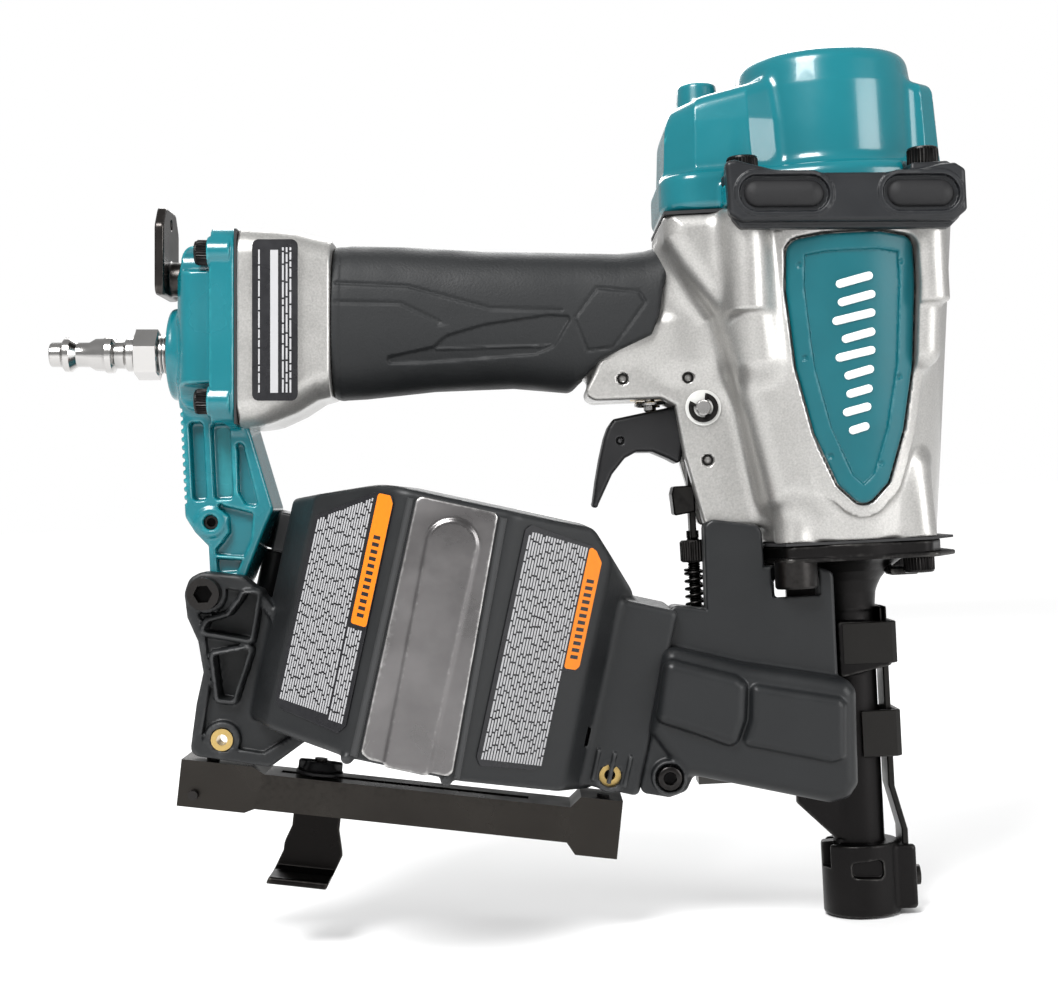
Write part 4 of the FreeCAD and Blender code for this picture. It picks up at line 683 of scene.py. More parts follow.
def metal(name, colour, rough_low, rough_high, worn=None, scratch=0.15, sharpness=0.545, tone=0.6,
          scale=600.0):
    """Bare or blacked metal: patchy sheen, fine scratches, and edges rubbed through."""
    steel = new_finish(name, colour, (rough_low + rough_high) / 2, 1.0)
    tree = steel.node_tree
    grain = use_group(steel, GRAIN, scale=scale, coarse_scale=55.0)
    wear = use_group(steel, WEAR, sharpness=sharpness, breakup=600.0)
    darker = tuple(value * tone for value in colour)
    base = tint(steel, grain.outputs["Patches"], darker, colour)
    edges = tint(steel, wear.outputs["Rubbed"], base, worn or colour)
    # Painted shade: the metal is darkened to under half its colour in the hollows, where shade would fall.
    metal_hollow_shade = tint(steel, wear.outputs["Hollow"], edges, tuple(value * 0.45 for value in colour))
    wire(tree, metal_hollow_shade, shader_of(steel).inputs["Base Color"])
    vary(steel, grain.outputs["Patches"], "Roughness", rough_low, rough_high)
    bump(steel, grain.outputs["Fine"], scratch, 0.00008)
    return steel


BLACK_OXIDE = metal("black oxide steel", (0.013, 0.0125, 0.0125), 0.28, 0.44, (0.035, 0.033, 0.032))


def radius_at(kind, radius, angle):
    """How far out a turned solid reaches at an angle: round, six-sided or knurled."""
    if kind == "hex":
        return radius / math.cos(angle % (math.pi / 3) - math.pi / 6)
    if kind == "knurl":
        return radius - 0.28 * abs(math.sin(angle * 15))
    return radius


def axes_about(direction):
    """A direction and two more square to it."""
    axis = Vector(direction).normalized()
    one = axis.orthogonal().normalized()
    return axis, one, axis.cross(one)


def turned(profile, start, direction, sides=60):
    """Points and faces of a turned solid: (along, radius, kind) rings about an axis."""
    axis, one, two = axes_about(direction)
    start = Vector(start)
    points, faces, rings = [], [], []
    for along, radius, *kind in profile:
        kind = kind[0] if kind else "round"
        if radius <= 0:
            rings.append([len(points)] * sides)
            points.append(start + axis * along)
            continue
        rings.append(list(range(len(points), len(points) + sides)))
        for i in range(sides):
            angle = 2 * math.pi * i / sides
            reach = radius_at(kind, radius, angle)
            points.append(start + axis * along + (one * math.cos(angle) + two * math.sin(angle)) * reach)
    for low, high in zip(rings, rings[1:]):
        for i in range(sides):
            j = (i + 1) % sides
            face = [low[i], low[j], high[j], high[i]]
            face = [v for n, v in enumerate(face) if v not in face[:n]]
            if len(face) > 2:
                faces.append(face)
    return points, faces


def coil(radius, wire_radius, start, direction, length, turns, sides=8):
    """Points and faces of a closed round-wire spring, its ends wound close."""
    axis, one, two = axes_about(direction)
    start = Vector(start)
    steps = int(turns * 28)
    close = 2 * wire_radius
    pitch = (length - 3 * close) / max(turns - 2, 1)
    points, faces = [], []
    for n in range(steps + 1):
        share = n / steps
        turn = share * turns
        along = wire_radius + (min(turn, 1) * close + max(min(turn, turns - 1) - 1, 0) * pitch
                               + max(turn - turns + 1, 0) * close)
        angle = 2 * math.pi * turn
        out = one * math.cos(angle) + two * math.sin(angle)
        centre = start + axis * along + out * radius
        for i in range(sides):
            around = 2 * math.pi * i / sides
            points.append(centre + (out * math.cos(around) + axis * math.sin(around)) * wire_radius)
    for n in range(steps):
        for i in range(sides):
            j = (i + 1) % sides
            faces.append([n * sides + i, n * sides + j, (n + 1) * sides + j, (n + 1) * sides + i])
    faces.append(list(range(sides))[::-1])
    faces.append([steps * sides + i for i in range(sides)])
    return points, faces


def extruded(points, low, high, bevel=0.3, plane="XZ"):
    """Points and faces of a plate: an outline in a plane, with its rims bevelled."""
    flat = inset(points, bevel)
    count = len(points)
    layers = [(flat, low), (points, low + bevel), (points, high - bevel), (flat, high)]
    place = {"XZ": lambda a, b, c: Vector((a, c, b)), "YZ": lambda a, b, c: Vector((c, a, b)),
             "XY": lambda a, b, c: Vector((a, b, c))}[plane]
    made = [place(a, b, c) for layer, c in layers for a, b in layer]
    faces = [[n * count + i, n * count + (i + 1) % count, (n + 1) * count + (i + 1) % count,
              (n + 1) * count + i] for n in range(3) for i in range(count)]
    faces += [list(range(count))[::-1], [3 * count + i for i in range(count)]]
    return made, faces


def assemble(name, solids, finish, body, replaced=(), tilt=LEVEL, sharp=32):
    """One object from several solids, smooth except at its real edges."""
    shift = tilt.matrix()
    mesh = bmesh.new()
    for points, faces in solids:
        made = [mesh.verts.new((shift @ Vector(p)) * SCALE) for p in points]
        for face in faces:
            if len(set(face)) > 2:
                mesh.faces.new([made[i] for i in face])
    bmesh.ops.recalc_face_normals(mesh, faces=mesh.faces)
    data = bpy.data.meshes.new(name)
    mesh.to_mesh(data)
    mesh.free()
    data.polygons.foreach_set("use_smooth", np.ones(len(data.polygons), bool))
    data.set_sharp_from_angle(angle=math.radians(sharp))
    piece = bpy.data.objects.new(name, data)
    bpy.context.scene.collection.objects.link(piece)
    return dress(piece, finish, body, replaced)


def socket_screw(seat, out, shank, length, head=None, height=None, socket=None):
    """A socket head screw: its seat, the way its head points, its shank and its length."""
    head = head or shank * 1.64
    height = height or shank * 2
    flat = socket or shank * 0.85
    return turned([(-length, 0), (-length, shank * 0.8), (0.8 - length, shank), (0, shank), (0, head - 0.4),
                   (0.4, head, "knurl"), (height - 0.9, head, "knurl"), (height - 0.8, head - 0.1),
                   (height - 0.25, head - 0.25), (height, head - 0.7), (height, flat * 1.22),
                   (height - 0.35, flat, "hex"), (height * 0.5, flat, "hex"), (height * 0.45, 0)],
                  seat, out, 120)


M6_SHANK = 2.9
assemble("cap_screw_set", [socket_screw((row, side, 231), (0, 0, 1), M6_SHANK, 28)
                           for row in LUG_ROWS for side in (LUG_SIDE, -LUG_SIDE)],
         BLACK_OXIDE, "tool", "cap_screws")

# ---------------------------------------------------------------------------------------
# Badges: tapering shields of teal plastic let into both sides of the barrel. A rounded rim
# with small moulded dimples frames a sunk panel; plain raised white bars stand on it.
# ---------------------------------------------------------------------------------------
BADGE_TEAL = moulded("badge plastic", (0.0, 0.105, 0.130), 0.30, 0.42, 0.25, 0.0001, 700.0, 0.06)
MARK_WHITE = moulded("badge bars", (0.80, 0.81, 0.80), 0.35, 0.5, 0.1, 0.00005)
DIMPLES = [(-15.4, 203), (15.2, 202.5), (-14.6, 175), (13.6, 168), (-8.2, 145), (6.8, 142)]


def badge_shape(x, y, z):
    side = np.abs(y)
    wall = np.hypot(x, y) - barrel_radius(z)
    shield = shield_field(x, z)
    inner = shield + 5.6
    body = overlap(shield + 0.4, np.maximum(wall - 2.0, -0.1 - wall), 1.2)
    panel = overlap(inner, 1.0 - wall)
    body = carve(body, panel, 0.8)
    for dx, dz in DIMPLES:
        dot = np.sqrt((x - dx) ** 2 + (z - dz) ** 2 + (wall - 2.3) ** 2 * 1.2) - 0.95
        body = carve(body, dot, 0.3)
    return np.where(side > 5, body, 30.0)


def off_segment(a, b, start, end):
    """How far each place is from the straight run between two points."""
    ex, ey = end[0] - start[0], end[1] - start[1]
    along = np.clip(((a - start[0]) * ex + (b - start[1]) * ey) / (ex * ex + ey * ey), 0, 1)
    return np.hypot(a - start[0] - along * ex, b - start[1] - along * ey)


MARKS = [((-3.6, 196.5), (5.2, 198.5)), ((-3.2, 191.0), (5.8, 193.0)), ((-5.0, 185.5), (5.6, 187.5)),
         ((-2.4, 180.0), (5.4, 181.8)), ((-4.4, 174.5), (5.2, 176.3)), ((-2.0, 169.0), (4.6, 170.6)),
         ((-1.6, 163.5), (4.0, 164.8)), ((-2.8, 158.0), (3.4, 159.4)), ((-1.2, 152.5), (2.6, 153.5))]
MARK_HALF = 1.25


def marks_shape(x, y, z):
    wall = np.hypot(x, y) - barrel_radius(z)
    raised = np.maximum(wall - 1.55, 0.3 - wall)
    bars = [overlap(off_segment(x, z, start, end) - MARK_HALF, raised, 0.3) for start, end in MARKS]
    return np.where(np.abs(y) > 5, np.minimum.reduce(bars), 30.0)


cast("badge_pair", badge_shape, (-24, -43, 124), (24, 43, 215), 0.6, BADGE_TEAL, "tool", "badges")
cast("badge_bars", marks_shape, (-9, -42, 148), (9, 42, 203), 0.5, MARK_WHITE, "tool")

# ---------------------------------------------------------------------------------------
# Grip: a sleeve of black rubber pushed over the handle core. A palm swell runs under it,
# and a shallow engraved panel and flow lines mark both sides.
# ---------------------------------------------------------------------------------------
GRIP_RUBBER = moulded("grip rubber", (0.010, 0.011, 0.012), 0.50, 0.66, 0.45, 0.00018, 1300.0, 0.015)


def groove(a, b, points, width, depth):
    """How deep an engraved line cuts at each place."""
    best = np.minimum.reduce([off_segment(a, b, *run) for run in zip(points, points[1:])])
    return depth * np.clip(1 - best / width, 0, 1)


def grip_shape(u, y, w):
    top = np.interp(u, [28, 34, 50, 75, 100, 118, 126, 131],
                    [23.6, 24.3, 24.0, 22.6, 22.2, 21.8, 22.6, 24])
    low = np.interp(u, [28, 31, 38, 60, 85, 104, 112, 131],
                    [-24.2, -24.6, -24.2, -21.8, -20.8, -22.4, -20.5, -20.0])
    half_w = (top - low) / 2
    mid = (top + low) / 2
    half_y = np.interp(u, [28, 60, 100, 131], [19.0, 18.6, 18.4, 19.0])
    qy, qw = np.abs(y) / half_y, np.abs(w - mid) / half_w
    ring = (qy ** 2.7 + qw ** 2.7) ** (1 / 2.7)
    shell = (ring - 1) * np.minimum(half_y, half_w) * 0.93
    side = np.abs(y)
    panel_line = [(42, -13.5), (60, -8.5), (64, -5.0), (76, -1.5), (96, 1.5), (104, 1.0), (98, -9),
                  (92, -11.5), (60, -13.8)]
    panel = outline(u, w, inset(panel_line, 1.5)) - 1.5
    sunk = 0.8 * np.clip(-panel / 0.8, 0, 1)
    sunk = sunk - 0.45 * np.clip(1 - np.abs(w + 9.5 - 0.03 * (u - 60)) / 0.6, 0, 1) * (panel < -1.2)
    lines = groove(u, w, [(30, 11), (52, 10), (78, 3), (100, 2.5)], 0.8, 0.5)
    lines = np.maximum(lines, groove(u, w, [(30, 5), (50, 4.6), (62, -1)], 0.8, 0.45))
    front = outline(u, w, [(104, 0), (111, 9.5), (124, 8.2), (126, 5), (116, -9), (108, -10)])
    lines = np.maximum(lines, 0.5 * np.clip(1 - np.abs(front) / 0.8, 0, 1))
    shell = shell + np.where(side > 8, sunk + lines, 0)
    end = soft_plate(u, w, side, [(28.4, -40), (28.4, 40), (127, 40), (133.5, 15.5), (131.5, 9),
                                  (130.5, 1), (128, -5), (118.5, -9.5), (112, -13), (105.5, -19.5),
                                  (101.5, -24.5), (97, -30), (97, -40)], -30, 30, 1.2, 0.5)
    body = overlap(shell, end, 1.6)
    lipped = overlap(shell, np.abs(u - 29.6) - 1.2, 0.5)
    return meld(body, lipped, 0.5)


cast("grip_rubber_sleeve", grip_shape, (26, -21, -28), (136, 21, 27), 0.7, GRIP_RUBBER, "tool",
     "grip_sleeve", HANDLE)

# ---------------------------------------------------------------------------------------
# End cap: aluminium die casting in teal enamel, screwed to the flared end of the handle. A
# ribbed arm cast on it reaches down to the magazine bracket.
# ---------------------------------------------------------------------------------------
END_SCREWS = [(y, w) for y in (20.5, -20.5) for w in (20, -26)]
ARM_PIN = (-200.0, 134.4)
BRACKET_BOLT = (-201, 112.7)
HOOK_PIVOT = (0, 14)


def end_cap_shape(x, y, z):
    u, w = HANDLE.local(x, z)
    side = np.abs(y)
    corner = 8
    plan = round_edge(side - (24.6 - corner), np.abs(w + 3.0) - (31 - corner), corner)
    flange = overlap(plan, span(u, -8.5, -0.8), 0.9)
    shell = block((u, y, w), (-12.5, 0, -2.5), (6.2, 20.6, 25.5), 4.5)
    dome = block((u, y, w), (-15, 0, -3.5), (5.0, 16.5, 20), 4.0)
    body = meld(flange, shell, 2.4)
    body = meld(body, dome, 2.5)
    port = disc(y, w, u, (0, -10), 14.6, -24, -8, 1.4)
    body = meld(body, port, 3.0)
    for screw in END_SCREWS:
        body = carve(body, disc(y, w, u, screw, 5.6, -40, -8.5, 0.4), 0.8)
        body = meld(body, disc(y, w, u, screw, 5.0, -9.2, -2, 0.4), 0.4)
    shank = soft_plate(x, z, y, [
        (-208.0, 176), (-208.0, 136.5), (-205.2, 131.5), (-201.2, 127), (-201.2, 118), (-207.5, 113),
        (-206.5, 106), (-200.6, 105.5), (-194, 108.5), (-190.2, 116), (-183.5, 131),
        (-180.2, 137.5), (-186.6, 163.5), (-186.0, 176)], -13, 13, 2.6, 1.2)
    body = meld(body, shank, 3.0)
    for low, high, left, right in ((141.5, 166, -205.3, -200.9), (141.5, 165, -198.6, -192.6)):
        pocket = soft_plate(x, z, side, [(left, high), (left, low), (right, low), (right, high)],
                            8.6, 40, 1.4, 0.8)
        body = carve(body, pocket, 0.8)
    lower = soft_plate(x, z, side, [(-190.6, 161), (-191.0, 143.5), (-189, 139.5), (-184.8, 138.6),
                                    (-188.6, 158)], 9.5, 40, 1.2, 0.6)
    body = carve(body, lower, 0.8)
    foot = soft_plate(x, z, side, [
        (-198, 140.2), (-186.6, 136.6), (-187.6, 128.5), (-192.6, 118.5), (-198.6, 118.5),
        (-198.8, 126), (-196.4, 128.4), (-194.4, 131), (-194.4, 136), (-197.4, 138.6)],
        9.6, 40, 0.9, 0.6)
    foot = carve(foot, span(z + 0.12 * x, 99.2, 100.4), 0.4)
    body = carve(body, foot, 0.8)
    body = meld(body, disc(x, z, side, ARM_PIN, 4.6, 0, 13.6, 0.8), 1.2)
    body = carve(body, disc(x, z, y, ARM_PIN, 2.3, -40, 40), 0.6)
    teeth = np.maximum(np.abs((z - 140) % 2.6 - 1.3) - 0.55, x + 207.2)
    teeth = np.maximum(teeth, span(z, 140, 171))
    body = carve(body, teeth, 0.4)
    return carve(body, disc(x, z, y, BRACKET_BOLT, 3.1, -40, 40), 0.4)


cast("end_cap_casting", end_cap_shape, (-216, -27, 103), (-182, 27, 229), 0.65, TEAL, "tool",
     "end_cap")
cross_pin = turned([(-23.4, 0), (-23.4, 2.1), (-23.2, 2.25), (-0.2, 2.25), (0, 2.1), (0, 1.4),
                    (-0.1, 1.3, "hex"), (-1.6, 1.3, "hex"), (-1.6, 0)],
                   (ARM_PIN[0], -11.7, ARM_PIN[1]), (0, -1, 0), 48)
assemble("arm_cross_pin", [cross_pin], BLACK_OXIDE, "tool")
hook_screw = turned([(-3, 0), (-3, 2.4), (0, 2.4), (0, 4.6), (0.3, 5.0), (1.4, 5.0), (2.2, 4.2),
                     (2.6, 3.0), (2.6, 1.9), (1.4, 1.7, "hex"), (1.4, 0)], (-26.6, *HOOK_PIVOT), (-1, 0, 0))
assemble("end_cap_screw_set",
         [socket_screw((-8.5, *screw), (-1, 0, 0), 2.4, 14) for screw in END_SCREWS] + [hook_screw],
         BLACK_OXIDE, "tool", "handle_screws", HANDLE)

# ---------------------------------------------------------------------------------------
# Rating plate: black printed film stuck in a shallow recess on the flare. Its print is plain
# light bars and a blank strip, with no words.
# ---------------------------------------------------------------------------------------
FILM = moulded("label film", (0.007, 0.007, 0.009), 0.22, 0.34, 0.05, 0.00004, rubbed=0.01)
PRINT_GREY = moulded("grey print", (0.33, 0.33, 0.34), 0.4, 0.5, 0.05, 0.00004)
rng = np.random.default_rng(7)


def round_corners(points, radius, steps=5):
    """The outline with each corner replaced by an arc."""
    result = []
    count = len(points)
    for i in range(count):
        before, here, after = Vector(points[i - 1]), Vector(points[i]), Vector(points[(i + 1) % count])
        one, two = (before - here).normalized(), (after - here).normalized()
        half = one.angle(two) / 2
        reach = min(radius / math.tan(half), (before - here).length * 0.45, (after - here).length * 0.45)
        centre = here + (one + two).normalized() * (reach / math.cos(half))
        start, end = here + one * reach - centre, here + two * reach - centre
        for n in range(steps + 1):
            mixed = start.lerp(end, n / steps)
            result.append(tuple(centre + mixed.normalized() * start.length))
    return result


def print_bars(low, high, start, end, pitch, height, face):
    """Rows of abstract print: bars of uneven length along w, row after row along u."""
    bars = []
    for u in np.arange(start, end, pitch):
        w = low(u) if callable(low) else low
        top = high(u) if callable(high) else high
        while w < top - 0.8:
            run = min(float(rng.uniform(1.6, 5.4)), top - w)
            bars.append(extruded([(u, w), (u + height, w), (u + height, w + run), (u, w + run)],
                                 face - 0.03, face, 0.01))
            w += run + 0.55
    return bars


plate_outline = round_corners([(5, -26), (19, -26), (19, 23.5), (5, 23.5)], 2)
assemble("rating_film", [extruded(plate_outline, -25.55, -25.0, 0.08)], FILM, "tool", "rating_plate",
         HANDLE)
plate_print = (print_bars(-23.5, 21.0, 14.2, 17.2, 1.15, 0.55, -25.64)
               + print_bars(-23.5, 21.0, 6.9, 8.0, 1.2, 0.5, -25.64)
               + [extruded([(10.6, -23.6), (13.0, -23.6), (13.0, 20.2), (10.6, 20.2)],
                           -25.66, -25.62, 0.01)])
assemble("rating_print", plate_print, PRINT_GREY, "tool", (), HANDLE)

# ---------------------------------------------------------------------------------------
# Air plug: a bright plated steel quick-connect plug with a hexagon and a ringed nose, its
# pipe thread wound into the end cap.
# ---------------------------------------------------------------------------------------
CHROME = metal("bright plating", (0.50, 0.49, 0.48), 0.10, 0.24, None, 0.05, 0.6, 0.85)


def thread(radius, depth, start, end, pitch):
    """Profile of a screw thread's crests and roots."""
    profile = []
    along = start
    while along < end:
        profile += [(along, radius - depth), (along + pitch * 0.35, radius),
                    (along + pitch * 0.6, radius)]
        along += pitch
    return profile


BOSS_END = 24.0
plug_profile = ([(-6, 0), (-6, 6.0)] + thread(6.2, 0.55, -0.5, 4.0, 1.1)
                + [(4.0, 5.6), (4.0, 6.6), (4.4, 7.15, "hex"), (11.4, 7.15, "hex"), (11.8, 6.7),
                   (11.9, 5.5), (14.1, 5.4), (15.2, 4.5), (18.0, 4.4), (18.8, 5.7), (19.0, 5.9),
                   (20.9, 5.9), (21.2, 5.7), (22.0, 5.2), (24.6, 5.1), (26.6, 3.95), (30.4, 3.9),
                   (32.0, 5.2), (32.4, 5.5), (34.2, 5.5), (34.5, 5.2), (35.4, 4.0), (38.6, 3.9),
                   (39, 3.6), (39, 2.7), (38.4, 2.5), (22, 2.4), (22, 0)])
assemble("air_plug_turned", [turned(plug_profile, (-BOSS_END, 0, -10), (-1, 0, 0), 96)], CHROME,
         "tool", "air_plug", HANDLE)

# ---------------------------------------------------------------------------------------
# Belt hook: a plate of blued spring steel with a rounded corner and a hole, standing off the
# end cap on a bushing so that it can swivel.
# ---------------------------------------------------------------------------------------
BLUED = metal("blued steel", (0.060, 0.055, 0.052), 0.24, 0.40, (0.11, 0.10, 0.095), 0.12)


def hook_shape(u, y, w):
    sheet = soft_plate(y, w, u, [(-13, 8), (13, 8), (13, 30), (8, 36), (-8, 36), (-13, 30)],
                       -27.5, -24.5, 3.0, 0.7)
    bushing = disc(y, w, u, HOOK_PIVOT, 5.5, -25.5, -18.7, 0.4)
    body = meld(sheet, bushing, 0.8)
    body = carve(body, disc(y, w, u, (0, 31.5), 1.8, -40, 0), 0.3)
    return carve(body, disc(y, w, u, HOOK_PIVOT, 2.05, -40, 0), 0.2)


cast("belt_hook_plate", hook_shape, (-29, -14.5, 6), (-17.5, 14.5, 38), 0.5, BLUED, "belt_hook",
     "belt_hook", HANDLE)

# ---------------------------------------------------------------------------------------
# Trigger: black nylon blade between the web's two sides, on a bright pin held by an E-clip
# over a clear plastic washer. A pressed lever inside pushes up the valve stem.
# ---------------------------------------------------------------------------------------
TRIGGER_BLACK = moulded("trigger nylon", (0.010, 0.010, 0.011), 0.30, 0.45, 0.15, rubbed=0.02)
BRIGHT = metal("bright steel", (0.52, 0.51, 0.50), 0.18, 0.34, None, 0.08, 0.6, 0.8)
PIN_X, PIN_Z = -44.4, 162.4
TRIGGER_STOP = (-70.4, 153.6)
VALVE_X = -60


def trigger_shape(x, y, z):
    side = np.abs(y)
    blade = soft_plate(x, z, side, [
        (-74.0, 158.2), (-72.2, 160.6), (-66, 161.6), (-53.4, 163.6), (-50.2, 165.8), (-41.2, 165.8),
        (-40.8, 159.0), (-47.5, 155.5), (-50.4, 151), (-51.4, 146.4), (-52.8, 145.6), (-55.7, 147.3),
        (-60.5, 149.6), (-65.5, 149.8), (-69.2, 148.0), (-73.4, 143.2), (-76.6, 137), (-78.9, 132.6),
        (-80.2, 133.2), (-78.8, 141), (-77.2, 148.2), (-75.4, 154.8)], -8, 8, 0.9, 1.5)
    room = soft_plate(x, z, side, [(-70.5, 157.0), (-66, 172), (-37, 172), (-37, 153), (-49, 152),
                                   (-55, 155.5)], -6.1, 6.1, 1.0, 0.6)
    body = carve(blade, room, 0.4)
    body = carve(body, disc(x, z, side, TRIGGER_STOP, 1.3, 6.9, 20), 0.3)
    body = meld(body, disc(x, z, side, TRIGGER_STOP, 0.8, 0, 7.6, 0.2))
    return carve(body, disc(x, z, y, (PIN_X, PIN_Z), 2.46, -20, 20), 0.2)


cast("trigger_blade", trigger_shape, (-82, -9.5, 130), (-39, 9.5, 168), 0.5, TRIGGER_BLACK, "trigger",
     "trigger")


def clip_outline(radius, inner, gap):
    """The E-clip: a ring open on one side, with three lugs inside."""
    steps = 40
    angles = np.linspace(gap, 2 * math.pi - gap, steps)
    outer = [(radius * math.cos(a), radius * math.sin(a)) for a in angles]
    ring = []
    for n, a in enumerate(np.linspace(2 * math.pi - gap, gap, steps)):
        on_lug = n < 3 or n > steps - 4 or abs(n - (steps - 1) / 2) < 2
        reach = inner + (0.05 if on_lug else 0.8)
        ring.append((reach * math.cos(a), reach * math.sin(a)))
    return outer + ring


turn_clip = math.radians(115)
clip_line = [(PIN_X + a * math.cos(turn_clip) - b * math.sin(turn_clip),
              PIN_Z + a * math.sin(turn_clip) + b * math.cos(turn_clip))
             for a, b in clip_outline(4.6, 2.25, 0.62)]
assemble("pin_e_clip", [extruded(clip_line, -16.35, -15.75, 0.08)], BLACK_OXIDE, "tool", "pin_clip")
CLEAR_NYLON = new_finish("clear washer", (0.78, 0.78, 0.75), 0.35)
washer_grain = use_group(CLEAR_NYLON, GRAIN, scale=500.0, coarse_scale=90.0)
vary(CLEAR_NYLON, washer_grain.outputs["Patches"], "Roughness", 0.28, 0.45)
cloudy = tint(CLEAR_NYLON, washer_grain.outputs["Fine"], (0.50, 0.50, 0.48), (0.60, 0.60, 0.58))
wire(CLEAR_NYLON.node_tree, cloudy, shader_of(CLEAR_NYLON).inputs["Base Color"])
assemble("pin_washer", [turned([
    (0, 2.5), (0, 5.4), (0.2, 5.6), (0.6, 5.6), (0.7, 5.4), (0.7, 2.5), (0, 2.5)],
    (PIN_X, -15.02, PIN_Z), (0, -1, 0), 64)], CLEAR_NYLON, "tool")
assemble("trigger_pin_turned", [turned([
    (-17, 0), (-17, 2.0), (-16.6, 2.4), (15.8, 2.4), (15.85, 2.1), (16.4, 2.1), (16.45, 2.4),
    (16.7, 2.4), (17, 2.0), (17, 0)], (PIN_X, 0, PIN_Z), (0, -1, 0), 48)], BRIGHT, "tool",
    "trigger_pin")
assemble("roll_pin_set", [turned([
    (-14.7, 1.0), (-14.7, 1.4), (-14.4, 1.58), (14.4, 1.58), (14.7, 1.4), (14.7, 1.0), (8, 0.95),
    (-8, 0.95), (-14.7, 1.0)], (x, 0, z), (0, -1, 0), 32) for x, z in ROLL_PINS],
    BLACK_OXIDE, "tool", "roll_pins")
BRASS = metal("turned brass", (0.42, 0.27, 0.075), 0.24, 0.40, (0.52, 0.37, 0.14), 0.1)
assemble("valve_body_turned", [turned([
    (0, 2.06), (0, 6.2), (0.6, 6.9), (5.5, 6.95), (5.7, 6.3), (7.2, 6.3), (7.4, 6.95), (14, 6.95),
    (14.2, 6.3), (15.7, 6.3), (15.9, 6.95), (19.4, 6.9), (20, 6.2), (20, 2.06), (0, 2.06)],
    (VALVE_X, 0, 166.4), (0, 0, 1), 64)], BRASS, "tool", "trigger_valve")
valve_spring = assemble(
    "valve_coil_spring", [coil(4.6, 0.4, (VALVE_X, 0, 164.0), (0, 0, 1), 2.2, 2.4, 10)],
    BRIGHT, "tool", "valve_spring")
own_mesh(valve_spring)
assemble("valve_stem_turned", [turned([
    (0, 0), (0, 1.5), (0.5, 1.98), (3.2, 1.98), (3.3, 1.6), (3.9, 1.6), (4.0, 1.98), (17.6, 1.98),
    (18, 1.6), (18, 0)], (VALVE_X, 0, 162.6), (0, 0, 1), 40)], BRIGHT, "valve_stem", "valve_stem")

# ---------------------------------------------------------------------------------------
# Nose: the flange and the drive guide, a steel casting with a black finish, bolted under the
# housing by four screws; the near rear one has a plain tall head.
# ---------------------------------------------------------------------------------------
CAST_BLACK = metal("black cast steel", (0.020, 0.019, 0.019), 0.34, 0.52, (0.07, 0.068, 0.065), 0.45,
                   scale=900.0)


def nose_shape(x, y, z):
    side = np.abs(y)
    ring = overlap(np.hypot(x, y) - 29.3, span(z, 113.9, 118.2), 0.8)
    corner = soft_plate(x, side, z, [(-28, -40), (-28, 14), (-22, 28), (22, 28), (27.5, 15),
                                     (27.5, -40)], 114.2, 118.2, 4, 0.9)
    sheet = soft_plate(x, side, z, [(-28, -40), (-28, 15), (-22.5, 28.5), (24, 28.5), (32, 15),
                                    (32, -40)], 112.9, 114.4, 3, 0.5)
    body = meld(meld(ring, corner, 0.8), sheet, 0.5)
    radius = np.hypot(x, y)
    tube = overlap(radius - 8.0, span(z, 8.5, 116), 0.6)
    flareout = np.interp(z, [98, 102, 106, 109, 112, 114], [8.0, 8.8, 10.8, 13.4, 17.5, 20.0])
    root = overlap((radius - flareout) * 0.7, span(z, 97, 115), 0.5)
    body = meld(body, meld(tube, root, 2), 2)
    rib = soft_plate(x, z, -y, [(-20, 36), (-20, 104), (-5, 110), (-5, 24), (-8, 24)],
                     1.6, 5.5, 0.8, 0.6)
    body = meld(body, rib, 1.0)
    for low in (42, 74.2):
        ear = block((x, y, z), (3.0, 11.2, low + 3.9), (3.0, 6.0, 3.9), 1.2)
        body = meld(body, ear, 0.8)
    body = carve(body, disc(x, y, z, (3.5, 14.2), 1.56, 30, 95), 0.2)
    bracket = soft_plate(x, z, -y, [(-5, 93.2), (11.2, 92.6), (11.6, 89), (9.6, 86), (11.6, 83),
                                    (11.6, 78.8), (-5, 75.3)], 7.2, 9.4, 1.0, 0.5)
    body = meld(body, bracket, 1.0)
    wing = block((x, y, z), (15.5, -12, 108.6), (4.5, 5, 1.3), 0.8)
    body = meld(body, wing, 0.8)
    body = carve(body, disc(x, y, z, (0, 0), 5.2, 0, 125), 0.4)
    return carve(body, block((x, y, z), (-7, 4, 72), (3.4, 5.6, 26), 0.5), 0.4)


cast("nose_casting", nose_shape, (-31, -31, 7), (34, 31, 120), 0.65, CAST_BLACK, "tool", "nose")
flange_screws = [(row, side, 113.9) for row in FLANGE_ROWS for side in (FLANGE_SIDE, -FLANGE_SIDE)]
tall_seat = flange_screws.pop()
tall_screw = turned([(-15, 0), (-15, M6_SHANK), (0, M6_SHANK), (0, 6.2), (0.4, 6.6), (8.2, 6.6), (8.9, 6.1),
                     (9.0, 3.0), (8.4, 2.6, "hex"), (5, 2.6, "hex"), (5, 0)], tall_seat, (0, 0, -1), 96)
assemble("nose_screw_set",
         [socket_screw(seat, (0, 0, -1), M6_SHANK, 15) for seat in flange_screws] + [tall_screw],
         BLACK_OXIDE, "tool", "nose_screws")

# ---------------------------------------------------------------------------------------
# Contact arm: the foot ring that is pressed on the work, and the steel strip that carries its
# travel up past the nose to the depth dial and the trigger. It slides on the nose.
# ---------------------------------------------------------------------------------------


